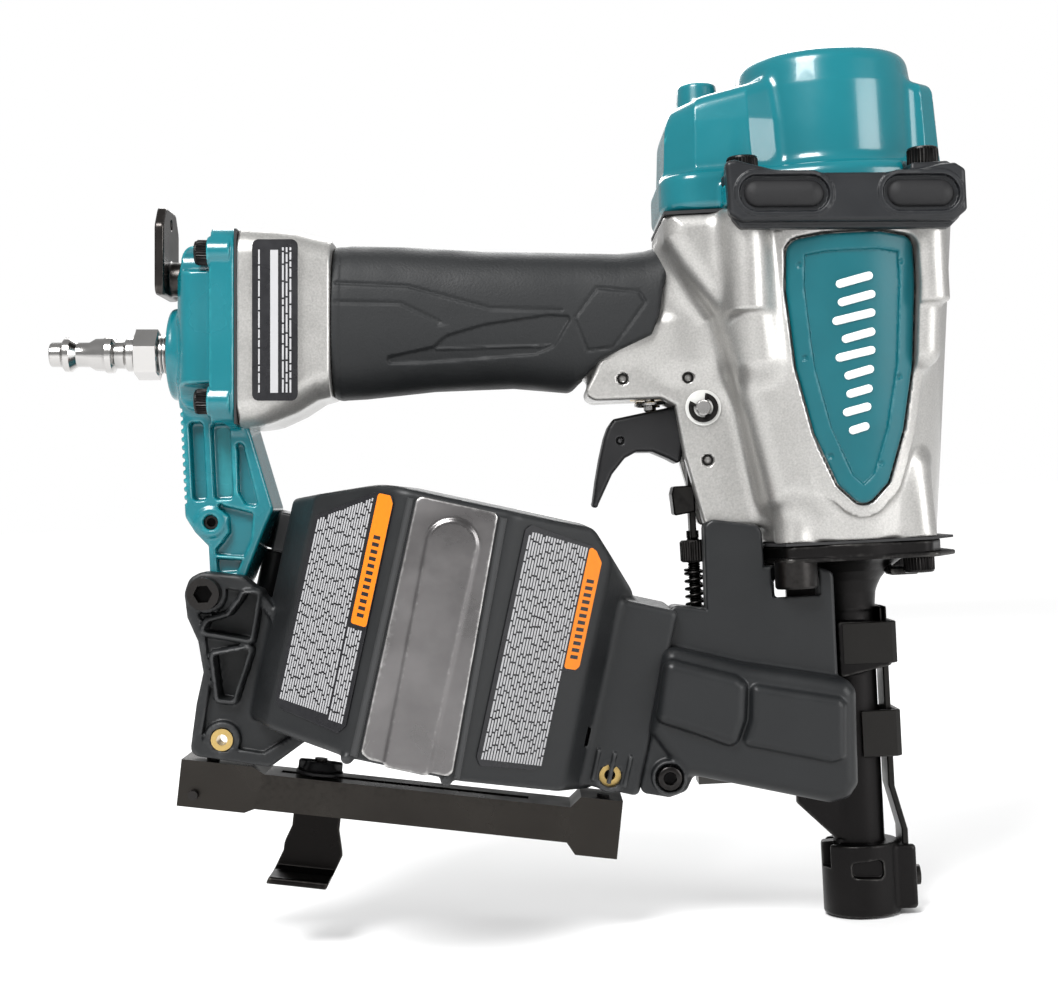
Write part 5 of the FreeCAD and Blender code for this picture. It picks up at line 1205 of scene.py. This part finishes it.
def foot_shape(x, y, z):
    radius = np.hypot(x, y)
    ring = overlap(radius - 12.3, span(z, 0, 22.7), 1.0)
    front = block((x, y, z), (11.0, 0, 11.4), (5.6, 7.4, 10.2), 1.4)
    body = meld(ring, front, 1.0)
    split = block((x, y, z), (16.6, 0, 12.6), (2.6, 5.56, 9.0), 0.3)
    body = carve(body, split, 0.3)
    body = carve(body, block((x, y, z), (-11.5, -3.55, 19.7), (4.2, 2.6, 4.6), 0.6), 0.5)
    body = carve(body, block((x, y, z), (-11.5, 5.5, 20), (4.2, 1.5, 4.6), 0.6), 0.5)
    slotted = soft_plate(x, z, -y, [(-4.5, 17.2), (5.2, 18.0), (5.4, 12.0), (-4.5, 12.6)],
                         9.6, 20, 1.6, 0.6)
    body = carve(body, slotted, 0.6)
    body = carve(body, disc(x, y, z, (0, 0), 8.06, 1.2, 40), 0.3)
    return carve(body, disc(x, y, z, (0, 0), 5.8, -2, 3), 0.5)


cast("contact_foot_ring", foot_shape, (-14.5, -14.5, -1.5), (18, 14.5, 24), 0.45, CAST_BLACK,
     "contact_arm", "contact_foot")


def keep_as_drawn(finish, *nodes, round_by=0.25):
    """Gives pieces that stay as drawn their material, and eases their edges."""
    for name in nodes:
        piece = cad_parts[name]
        piece.data.materials.clear()
        piece.data.materials.append(finish)
        edge = piece.modifiers.new("eased edges", "BEVEL")
        edge.width = round_by * SCALE
        edge.segments = 2
        edge.limit_method = "ANGLE"
        edge.angle_limit = math.radians(40)
        edge.harden_normals = True


ARM_BLACK = metal("blackened strip steel", (0.012, 0.0115, 0.0115), 0.30, 0.46,
                  (0.026, 0.025, 0.024), 0.3)
STUD_X = -48.4
strip = extruded([(9.2, 97), (9.2, 40.4), (12.65, 26.3), (12.65, 4.1), (14.65, 4.1), (14.65, 26),
                  (11.2, 40), (11.2, 97)], -5.5, 5.5, 0.4)
wrap = extruded([(9.2, -5.5), (11.2, -5.5), (11.2, 12.2), (-49.4, 12.2), (-49.4, -4), (-47.4, -4),
                 (-47.4, 10.2), (9.2, 10.2)], 86, 97, 0.4, "XY")
stud = turned([(0, 0), (0, 2)] + thread(2.0, 0.25, 0.5, 29, 0.8) + [(31, 2), (31, 0)],
              (STUD_X, 0, 93), (0, 0, 1), 24)
tongue = extruded([(-49.4, 121.5), (-47.4, 121.5), (-47.4, 145.4), (-49.4, 145.4)], -4, 4, 0.4)
shoulder_line = [(-54.9, 136), (-54.2, 138.4), (-47.6, 138.4), (-47.6, 130), (-54.4, 129)]
shoulder_block = extruded(round_corners(shoulder_line, 0.8), -6.4, 6.4, 0.5)
assemble("contact_strip", [strip, wrap, stud, tongue, shoulder_block], ARM_BLACK, "contact_arm",
         "contact_arm")
guide_line = [(11.9, -9.6), (13.5, -8.2), (13.5, 7.1), (6.5, 7.1), (6.5, 5.9), (11.7, 5.9), (11.7, -8.0)]
assemble("strip_guide_pair", [
    extruded([(1.2, -8.1), (1.2, -9.6)] + guide_line, 50, 64.7, 0.3, "XY"),
    extruded([(-3.5, -8.1), (-3.5, -9.6)] + guide_line, 79.4, 92.6, 0.3, "XY")],
    ARM_BLACK, "tool", "strip_guides")
keep_as_drawn(BLACK_OXIDE, "foot_screw")

# ---------------------------------------------------------------------------------------
# Depth dial: a knurled black wheel on the stud at the top of the contact arm. It is turned by
# thumb to set how deep a nail goes. The arm's return spring lies under it.
# ---------------------------------------------------------------------------------------
assemble("depth_dial_turned", [turned([
    (0, 2.06), (0, 3.7), (0.5, 4.3, "knurl"), (6.4, 4.35, "knurl"), (7.0, 3.7), (7.0, 2.06), (0, 2.06)],
    (STUD_X, 0, 114), (0, 0, 1), 96)], BLACK_OXIDE, "depth_dial", "depth_dial")


def spring_in(name, wire_radius, turns, sides):
    """An upright coil spring that fills a node's box, its wire inside it."""
    low, high = [[value / SCALE for value in corner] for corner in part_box(name)]
    centre = [(low[n] + high[n]) / 2 for n in range(2)]
    return coil((high[0] - low[0]) / 2 - wire_radius, wire_radius, (*centre, low[2] + wire_radius),
                (0, 0, 1), high[2] - low[2] - 2 * wire_radius, turns, sides)


return_spring = assemble("contact_coil_spring", [spring_in("contact_spring", 0.5, 6.5, 16)], BLACK_OXIDE,
                         "tool", "contact_spring")
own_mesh(return_spring)

# ---------------------------------------------------------------------------------------
# Feed cover: a black cast cover over the feed piston, with a rounded lobe, a crease, a bulge
# for the cylinder's head, and a tower for the contact arm. One screw holds its rear corner.
# ---------------------------------------------------------------------------------------
COVER_BLACK = moulded("cover enamel", (0.010, 0.011, 0.012), 0.34, 0.48, 0.22, 0.00012, 700.0, 0.02)
UPPER = [(-58.3, 101.9), (-46.9, 99.8), (-46.4, 126), (-43.9, 127.6), (-29.8, 125.2), (-28.6, 123),
         (-28.4, 112.2), (-12.2, 111.2), (-7.2, 109.8), (-7.4, 66), (-60, 58), (-64, 72)]
LOBE = [(-61.2, 90), (-37.7, 83.2), (-5.2, 76.6), (-2.9, 73.2), (-3.6, 44.3), (-6.6, 40.1),
        (-12.3, 38.9), (-53.2, 49.2), (-57.5, 49.5), (-67, 64)]
BULGE = [(-61.4, 86.6), (-39.6, 79.9), (-36.4, 77.2), (-37.4, 66.3), (-41.0, 57.5), (-51.7, 62.0),
         (-65.0, 67.0)]
PANEL = [(-35.6, 77.4), (-8.2, 71.8), (-6.6, 69.5), (-7.4, 52.6), (-12, 51.6), (-39.4, 58.4),
         (-36.4, 66.3)]
REAR_TAB = [(-63.5, 73), (-70.9, 44.8), (-61.6, 42.9), (-56.2, 44.6), (-53.4, 50), (-50, 64)]
COVER_SCREW = (-61.4, 49.4)


def feed_cover_shape(x, y, z):
    near = -y
    upper = soft_plate(x, z, near, UPPER, 8.6, 20.2, 2.5, 1.0)
    lobe = soft_plate(x, z, near, LOBE, 6.3, 28.4, 4, 4.6)
    bulge = soft_plate(x, z, near, BULGE, 15, 31.9, 3.2, 3.4)
    panel = soft_plate(x, z, near, PANEL, 15, 30.6, 2.2, 2.8)
    tab = soft_plate(x, z, near, REAR_TAB, 6.3, 24.6, 2.5, 1.4)
    boss = disc(x, z, near, COVER_SCREW, 5.4, 6.3, 27.4, 1.0)
    body = meld(meld(upper, lobe, 1.4), meld(tab, boss, 1.4), 1.2)
    body = meld(body, meld(bulge, panel, 0.3), 1.0)
    room = soft_plate(x, z, near, [(-59, 86), (-62, 60), (-50, 52), (-8, 43.5), (-6, 72), (-24, 75),
                                   (-26, 80)], 0, 26.4, 4, 3)
    slot = soft_plate(x, z, near, [(-56, 88), (-44.6, 100), (-44, 130), (-31, 130), (-31, 108),
                                   (-10.5, 107), (-10, 72)], 0, 17.4, 2, 1)
    body = carve(carve(body, room, 0.6), slot, 0.6)
    body = carve(body, disc(x, z, near, COVER_SCREW, 4.3, 25.2, 50, 0.2), 0.4)
    body = carve(body, disc(x, y, z, tall_seat[:2], 7.7, 102.4, 140, 0.8), 0.4)
    return carve(body, np.hypot(x, y) - 9.2 - np.clip(z - 98, 0, 12), 0.4)


cast("feed_cover_casting", feed_cover_shape, (-73, -33.5, 35), (-1, -4.5, 128), 0.7, COVER_BLACK,
     "tool", "feed_cover")
cover_screw_seat = (COVER_SCREW[0], -25.2, COVER_SCREW[1])
assemble("feed_cover_cap_screw", [socket_screw(cover_screw_seat, (0, -1, 0), 2.1, 18, 3.8, 3.6, 1.7)],
         BLACK_OXIDE, "tool", "feed_cover_screw")
keep_as_drawn(BRIGHT, "feed_cylinder", "feed_piston", "feed_pawl", "door_hinge_pin", round_by=0.2)
feed_spring = assemble("feed_coil_spring", [coil(4.6, 0.5, (-53.2, -19, 60), (1, 0, 0), 11, 6, 14)],
                       BRIGHT, "tool", "feed_spring")
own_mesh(feed_spring)

# ---------------------------------------------------------------------------------------
# Feed door and its latch: a black cast leaf that closes the nail channel's far side and turns
# on a pin by the nose, held shut by a pressed steel latch.
# ---------------------------------------------------------------------------------------
keep_as_drawn(CAST_BLACK, "feed_door", round_by=0.6)
keep_as_drawn(BLUED, "door_latch", round_by=0.4)

# ---------------------------------------------------------------------------------------
# Magazine: the canister for a coil of nails, moulded in black nylon in two halves. The near
# half carries the neck and the bracket that bolts to the handle's arm; the far half swings.
# ---------------------------------------------------------------------------------------
MAG = Tilt(-131, 98, 15)
CANISTER = moulded("canister nylon", (0.011, 0.012, 0.013), 0.36, 0.52, 0.30, 0.00012, 800.0, 0.02)
DRUM = [(-52, -60), (-52, 16.2), (-43, 36), (-17, 58), (17, 58), (48, 36), (58, 16.2), (58, -60)]
ROOM = [(-49.4, -60), (-49.4, 15), (-41, 34), (-16.2, 55.4), (16.2, 55.4), (46, 34), (55.4, 15),
        (55.4, -60)]
BRACKET = [(-202.1, 119.3), (-205.9, 117.6), (-207.8, 112.9), (-207.3, 105.5), (-204.3, 97.9),
           (-203.2, 88.3), (-205.8, 78.8), (-208.7, 63.0), (-184.0, 58.1), (-172.0, 66),
           (-172.0, 96), (-184, 112), (-190, 117.5)]
WINDOWS = [[(-189.2, 112.0), (-185.0, 111.8), (-188.1, 97.6), (-202.5, 101.0), (-200.8, 103.9),
            (-194.3, 105.4), (-190.4, 109.9)],
           [(-199.7, 93.4), (-188.3, 95.0), (-194.4, 79.3), (-198.7, 80.0)]]
BRACKET_INSERT = (-198.4, 67.3)
FRONT_INSERT = (-79.5, 50.5)
HINGE = (-57.5, 14)


def drum_shell(u, side, w):
    """One half of the canister and its neck, hollow, before it is trimmed to its side."""
    solid = soft_plate(u, side, w, DRUM, -39, 41, 9, 2.2)
    roof = np.maximum((w - 41.5) * 0.938 - (u + 21) * 0.347, ((u - 40) + (w - 41.5)) * 0.707)
    solid = overlap(solid, roof, 1.6)
    neck = block((u, side, w), (56, 0, -7.8), (16, 25, 29.2), 2.0)
    solid = meld(solid, neck, 2.0)
    room = soft_plate(u, side, w, ROOM, -36.4, 38.4, 7, 1.5)
    room = overlap(room, roof + 2.6, 0.8)
    solid = carve(solid, room, 0.4)
    return carve(solid, block((u, side, w), (64, 0, -7.8), (20, 4.5, 27), 0.5), 0.4)


def magazine_body_shape(u, y, w):
    x, z = MAG.out(u, w)
    shell = overlap(drum_shell(u, -y, w), y + 0.05, 0.15)
    bracket = soft_plate(x, z, -y, BRACKET, 11, 22, 3, 0.8)
    pocket = soft_plate(x, z, -y, [
        (-203, 116), (-205, 112), (-202, 99), (-201, 86), (-205, 66.5), (-186, 62.5), (-176, 68),
        (-176, 95), (-187, 112)], 19.2, 40, 2, 0.6)
    rim = carve(bracket, pocket, 0.5)
    for window in WINDOWS:
        rim = meld(rim, soft_plate(x, z, -y, window, 11, 21.6, 0.6, 0.4) - 1.6, 0.3)
        rim = carve(rim, soft_plate(x, z, -y, window, 13.5, 40, 0.8, 0.4), 0.4)
    rim = meld(rim, disc(x, z, -y, BRACKET_BOLT, 6.2, 12, 22, 0.8), 0.8)
    rim = meld(rim, disc(x, z, -y, BRACKET_INSERT, 5.6, 11, 21.9, 0.6), 0.8)
    rim = carve(rim, disc(x, z, -y, BRACKET_BOLT, 3.1, 0, 40), 0.3)
    rim = overlap(rim, soft_plate(u, -y, w, [(-120, 0), (-120, 40), (-20, 40), (-20, 0)], -60, 60, 1))
    rim = carve(rim, soft_plate(u, -y, w, ROOM, -36.4, 38.4, 7, 1.5), 0.2)
    body = meld(shell, rim, 1.5)
    body = meld(body, disc(x, z, -y, FRONT_INSERT, 5.0, 16, 25, 0.6), 1.0)
    body = carve(body, disc(x, z, -y, FRONT_INSERT, 3.42, 14, 40, 0.2), 0.2)
    body = carve(body, disc(x, z, -y, BRACKET_INSERT, 3.42, 10, 40, 0.2), 0.2)
    for low, high in ((-27, -12.2), (12.2, 25)):
        leaf = block((u, y, w), (-54, 5, (low + high) / 2), (3.0, 9.5, (high - low) / 2), 0.6)
        body = meld(body, meld(disc(u, y, w, HINGE, 4.0, low, high, 0.4), leaf, 0.6), 0.5)
    body = carve(body, disc(u, y, w, HINGE, 1.82, -60, 60), 0.2)
    for at in (-16, 13.5):
        body = meld(body, bar((u, -y, w), (at, 40, -39), (at, 56.5, -39), 1.9), 0.6)
    for n in range(4):
        body = meld(body, block((u, -y, w), (52 + n * 5, 24.9, -30), (0.7, 0.9, 5), 0.4), 0.4)
    return carve(body, block((u, -y, w), (50, 25, -22), (3, 2.4, 3), 0.5), 0.4)


cast("magazine_near_half", magazine_body_shape, (-82, -60, -56), (74, 19, 43), 1.0, CANISTER,
     "tool", "magazine_body", MAG, keep=0.5)


def magazine_cover_shape(u, y, w):
    shell = overlap(drum_shell(u, y, w), 0.05 - y, 0.15)
    knuckle = meld(disc(u, y, w, HINGE, 4.0, -11.6, 11.6, 0.4),
                   block((u, y, w), (-54.5, 14, 0), (3.0, 3.2, 11.6), 0.6), 0.6)
    body = meld(shell, knuckle, 0.5)
    body = carve(body, disc(u, y, w, HINGE, 1.82, -60, 60), 0.2)
    tab = block((u, y, w), (62, 24, -8), (9, 2.0, 12), 1.2)
    return meld(body, tab, 1.0)


cast("magazine_far_half", magazine_cover_shape, (-64, -1.5, -42), (74, 60, 43), 1.1, CANISTER,
     "magazine_cover", "magazine_cover", MAG, keep=0.5)
keep_as_drawn(BRIGHT, "magazine_hinge_pin", round_by=0.2)
keep_as_drawn(CANISTER, "canister_foot", "coil_tray", "coil_post", round_by=0.5)
keep_as_drawn(BLACK_OXIDE, "bracket_bolt", round_by=0.3)
keep_as_drawn(BRASS, "threaded_inserts", round_by=0.2)

# ---------------------------------------------------------------------------------------
# Wear strap: a pressed strap of worn steel let into the canister's near flat, with a long
# embossed rib open at its lower end. It takes the rubbing when the tool is laid down.
# ---------------------------------------------------------------------------------------
WORN_STEEL = metal("worn steel", (0.26, 0.25, 0.25), 0.22, 0.46, (0.55, 0.54, 0.53), 0.5, 0.54, 0.32,
                   260.0)
STRAP = [(-12.4, -36.5), (-9.5, -38), (13.6, -38), (15.0, -36.5), (12.2, 38.5), (11.2, 39.6),
         (-10.8, 39.6), (-12.0, 38.4)]


def strap_shape(u, y, w):
    near = -y
    sheet = soft_plate(u, w, near, STRAP, 57.6, 58.55, 1.5, 0.4)
    along = np.clip((27.5 - w) / 72, 0, 1)
    rib = np.hypot(u - 0.9 - 0.6 * along, np.maximum(w - 27.5, 0)) - (7.2 - along)
    rib = overlap(rib, np.maximum(-39 - w, span(near, 57.8, 59.15)), 0.9)
    return meld(sheet, rib, 1.4)


cast("wear_strap", strap_shape, (-14, -60, -40), (17, -56.5, 41), 0.5, WORN_STEEL, "tool",
     "wear_plate", MAG)
rails = [extruded([(u0, -38), (u1, -38), (u2, 38.5), (u3, 38.5)], -58.9, -57.2, 0.5)
         for u0, u1, u2, u3 in ((-15.2, -13.0, -12.7, -14.6), (15.6, 17.2, 14.9, 12.8))]
assemble("strap_borders", rails, CANISTER, "tool", (), MAG)

# ---------------------------------------------------------------------------------------
# Labels: two black printed films on the canister's slanted faces. Their print is rows of
# plain grey bars and one plain orange block each, with no words.
# ---------------------------------------------------------------------------------------
ORANGE = moulded("orange print", (0.78, 0.20, 0.004), 0.38, 0.5, 0.05, 0.00004, rubbed=0.0)


def on_face(solids, start, end):
    """Lays flat solids, drawn as along the face and up it, on a slanted face of the canister."""
    run = Vector((end[0] - start[0], end[1] - start[1])).normalized()
    rise = Vector((-run.y, run.x))
    return [([(start[0] + s * run.x + out * rise.x, start[1] + s * run.y + out * rise.y, w)
              for s, out, w in points], faces) for points, faces in solids]


REAR_FACE = ((-43, -36), (-17, -58))
FRONT_FACE = ((17, -58), (48, -36))
ROW_PITCH, ROW_HEIGHT, PRINT_FACE = 1.02, 0.62, -0.44
# Each label: its face, the film's outline, its rows of print (foot, top, start, end), its block.
LABELS = [
    ("rear", REAR_FACE, [(1.8, -29.5), (1.8, 27), (20, 35.8), (25, 38), (31.5, 38), (32.6, 36), (32.6, -30),
                         (30, -32.8), (5, -31.5)],
     [(-28.6, lambda s: 26.4 + (s - 3.2) * 0.47, 3.4, 24.6), (-29.8, -2.2, 25.4, 31.4)],
     [(25.9, -0.9), (32.5, -0.9), (32.5, 35.8), (31.0, 37.9), (25.9, 37.9)]),
    ("front", FRONT_FACE, [(4.3, -31), (4.3, 36.5), (6, 38.2), (30, 35.6), (34.3, 31.5), (34.3, -0.5),
                           (33, -1.9), (28.2, -3), (28.2, -30), (26, -33), (6, -33.5)],
     [(-31.5, lambda s: 36.4 - (s - 5) * 0.07, 5.9, 27.4)],
     [(28.6, -1.7), (33.0, -1.7), (34.2, -0.5), (34.2, 31.3), (31.4, 34.4), (28.6, 35.5)])]
for name, face, film, rows, block_line in LABELS:
    film_solid = extruded(round_corners(film, 1.6), -0.42, -0.08, 0.06)
    assemble("label_film_" + name, on_face([film_solid], *face), FILM, "tool",
             "labels" if name == "rear" else (), MAG)
    print_solids = [solid for row in rows
                    for solid in print_bars(*row, ROW_PITCH, ROW_HEIGHT, PRINT_FACE)]
    assemble("label_print_" + name, on_face(print_solids, *face), PRINT_GREY, "tool", (), MAG)
    orange_solid = extruded(round_corners(block_line, 1.0), -0.47, -0.40, 0.02)
    assemble("label_block_" + name, on_face([orange_solid], *face), ORANGE, "tool", (), MAG)
    middle_s = (block_line[0][0] + block_line[2][0]) / 2
    strokes = [extruded([(middle_s - 1.4, w), (middle_s + 1.4, w), (middle_s + 1.4, w + 1.1),
                         (middle_s - 1.4, w + 1.1)], -0.50, -0.46, 0.01) for w in np.arange(1.5, 26, 2.1)]
    assemble("label_strokes_" + name, on_face(strokes, *face), FILM, "tool", (), MAG)

# ---------------------------------------------------------------------------------------
# Guide rail, shingle guide and its wing knob: folded sheet steel under the canister. The
# shoe is bent with a flared lip, slides along the rail's slot and is held by the knob.
# ---------------------------------------------------------------------------------------
RAIL = Tilt(-212.5, 54.5, 9)
SHEET_BLACK = metal("blackened sheet steel", (0.013, 0.012, 0.0115), 0.24, 0.40,
                    (0.034, 0.031, 0.028), 0.25)
KNOB_AT = (42, -11)
keep_as_drawn(SHEET_BLACK, "rail", round_by=0.9)
keep_as_drawn(BLACK_OXIDE, "rail_fasteners", "guide_stud", round_by=0.3)


def folded_sheet(a, b, across, points, half, low, high):
    """A strip of sheet folded along a path, its bends rounded."""
    runs = [off_segment(a, b, *run) for run in zip(points, points[1:])]
    best = runs[0]
    for run in runs[1:]:
        best = meld(best, run, 0.3)
    return overlap(best - half, span(across, low, high), 0.5)


def shoe_shape(u, y, w):
    across = u - KNOB_AT[0] + np.clip(-(w + 20) * 0.35, 0, 3)
    path = [(-18.6, 1.85), (-4.7, 1.85), (-4.7, -25.2), (-7.4, -27.25), (-18.4, -27.25)]
    folded = folded_sheet(y, w, across, path, 1.22, -9.4, 9.4)
    neck = soft_plate(u, w, y, [(28, -30), (52, -30), (51.5, -20), (49.5, -12), (49.5, -1), (51.4, 3.2),
                                (32.6, 3.2), (34.5, -1), (34.5, -12), (31, -22)], -30, 0, 1, 0.4)
    body = overlap(folded, neck, 0.4)
    return carve(body, disc(u, y, w, KNOB_AT, 2.1, -5, 8), 0.2)


cast("shoe_plate", shoe_shape, (27, -20.5, -30), (53, -2.5, 4.5), 0.5, SHEET_BLACK, "shingle_guide",
     "shingle_guide", RAIL)


def knob_shape(u, y, w):
    u, y = u - KNOB_AT[0], y - KNOB_AT[1]
    hub = overlap(np.hypot(u, y) - (5.6 - np.clip(w - 6.5, 0, 4) * 0.35), span(w, 5.9, 10.0), 0.5)
    rim = overlap(np.hypot(u, y) - 7.4, span(w, 5.9, 7.1), 0.4)
    wing = block((u, y, w), (0, 0, 8.2), (6.9, 1.35, 2.1), 0.8)
    body = meld(meld(hub, rim, 0.5), wing, 0.8)
    return carve(body, np.hypot(u, y) - 2.06, 0.2)


cast("wing_knob", knob_shape, (33.5, -19.5, 5.2), (50.5, -2.5, 11), 0.4, TRIGGER_BLACK, "guide_knob",
     "guide_knob", RAIL)

# ---------------------------------------------------------------------------------------
# Works inside: the cylinder, the piston with its driver, the bumper, the head valve with its
# spring, the seals, the air filter and the trigger's lever. They show when the tool is cut.
# ---------------------------------------------------------------------------------------
ALUMINIUM = metal("turned aluminium", (0.46, 0.46, 0.47), 0.26, 0.44, None, 0.12)
BLACK_RUBBER = moulded("seal rubber", (0.010, 0.010, 0.011), 0.55, 0.72, 0.25, rubbed=0.01)
keep_as_drawn(ALUMINIUM, "cylinder_sleeve", round_by=0.3)
keep_as_drawn(BRIGHT, "piston_and_driver", "trigger_lever", round_by=0.3)
keep_as_drawn(BLACK_RUBBER, "piston_bumper", "piston_ring", "gaskets", "air_filter", round_by=0.2)
keep_as_drawn(TRIGGER_BLACK, "head_valve", round_by=0.4)
assemble("head_valve_coil_spring", [spring_in("head_valve_spring", 0.8, 3, 40)], BRIGHT, "tool",
         "head_valve_spring")

# ---------------------------------------------------------------------------------------
# Floor, light and camera: a plain pale floor with a painted glow that grows towards its edges, a large soft
# lamp above the near side, two weaker ones, and the camera square to the tool's right side.
# ---------------------------------------------------------------------------------------
bpy.ops.mesh.primitive_plane_add(size=60, location=(0, 0, -0.0006))
floor = bpy.context.object
floor.name = "floor"
paper = bpy.data.materials.new("pale floor")
paper.use_nodes = True
paper_tree = paper.node_tree
paper_shader = paper_tree.nodes["Principled BSDF"]
paper_shader.inputs["Base Color"].default_value = (0.90, 0.90, 0.90, 1)
paper_shader.inputs["Roughness"].default_value = 0.8
# Painted glow: the floor emits white light, none near the tool and up to 0.75 far out, so it fades into the
# white backdrop.
paper_shader.inputs["Emission Color"].default_value = (1, 1, 1, 1)
place = paper_tree.nodes.new("ShaderNodeTexCoord")
far = add_node(paper_tree, "ShaderNodeVectorMath", operation="LENGTH")
floor_glow = add_node(paper_tree, "ShaderNodeMapRange", interpolation_type="SMOOTHSTEP", from_min=0.35,
                from_max=2.2, to_max=0.75)
wire(paper_tree, place.outputs["Object"], far.inputs[0])
wire(paper_tree, far.outputs["Value"], floor_glow.inputs["Value"])
wire(paper_tree, floor_glow.outputs["Result"], paper_shader.inputs["Emission Strength"])
floor.data.materials.append(paper)

world = bpy.context.scene.world or bpy.data.worlds.new("studio")
bpy.context.scene.world = world
world.use_nodes = True
sky = world.node_tree
backdrop = sky.nodes["Background"]
seen = sky.nodes.new("ShaderNodeLightPath")
strength = add_node(sky, "ShaderNodeMapRange", to_min=0.42, to_max=1.0)
wire(sky, seen.outputs["Is Camera Ray"], strength.inputs["Value"])
wire(sky, strength.outputs["Result"], backdrop.inputs["Strength"])
backdrop.inputs["Color"].default_value = (1, 1, 1, 1)

LAMPS = (("key", (-0.45, -0.75, 0.95), 0.45, 17), ("fill", (0.75, -0.65, 0.35), 0.5, 5),
         ("back", (-0.1, 0.8, 0.8), 0.7, 9))
aim = Vector((-0.09, 0, 0.14))
for name, place, size, power in LAMPS:
    lamp = bpy.data.lights.new(name, "AREA")
    lamp.size = size
    lamp.energy = power
    holder = bpy.data.objects.new(name, lamp)
    holder.location = place
    holder.rotation_euler = (aim - Vector(place)).to_track_quat("-Z", "Y").to_euler()
    bpy.context.scene.collection.objects.link(holder)
camera = bpy.data.cameras.new("camera")
camera.lens = 63.8
camera.sensor_width = 36
holder = bpy.data.objects.new("camera", camera)
roll = math.radians(2.9)
right = Vector((math.cos(roll), 0, -math.sin(roll)))
up = Vector((math.sin(roll), 0, math.cos(roll)))
back = right.cross(up)
holder.matrix_world = Matrix((
    (right.x, up.x, back.x, -0.1001), (right.y, up.y, back.y, -0.6),
    (right.z, up.z, back.z, 0.1364), (0, 0, 0, 1)))
bpy.context.scene.collection.objects.link(holder)
bpy.context.scene.camera = holder
bpy.context.scene.view_settings.view_transform = "Standard"

bpy.context.view_layer.update()
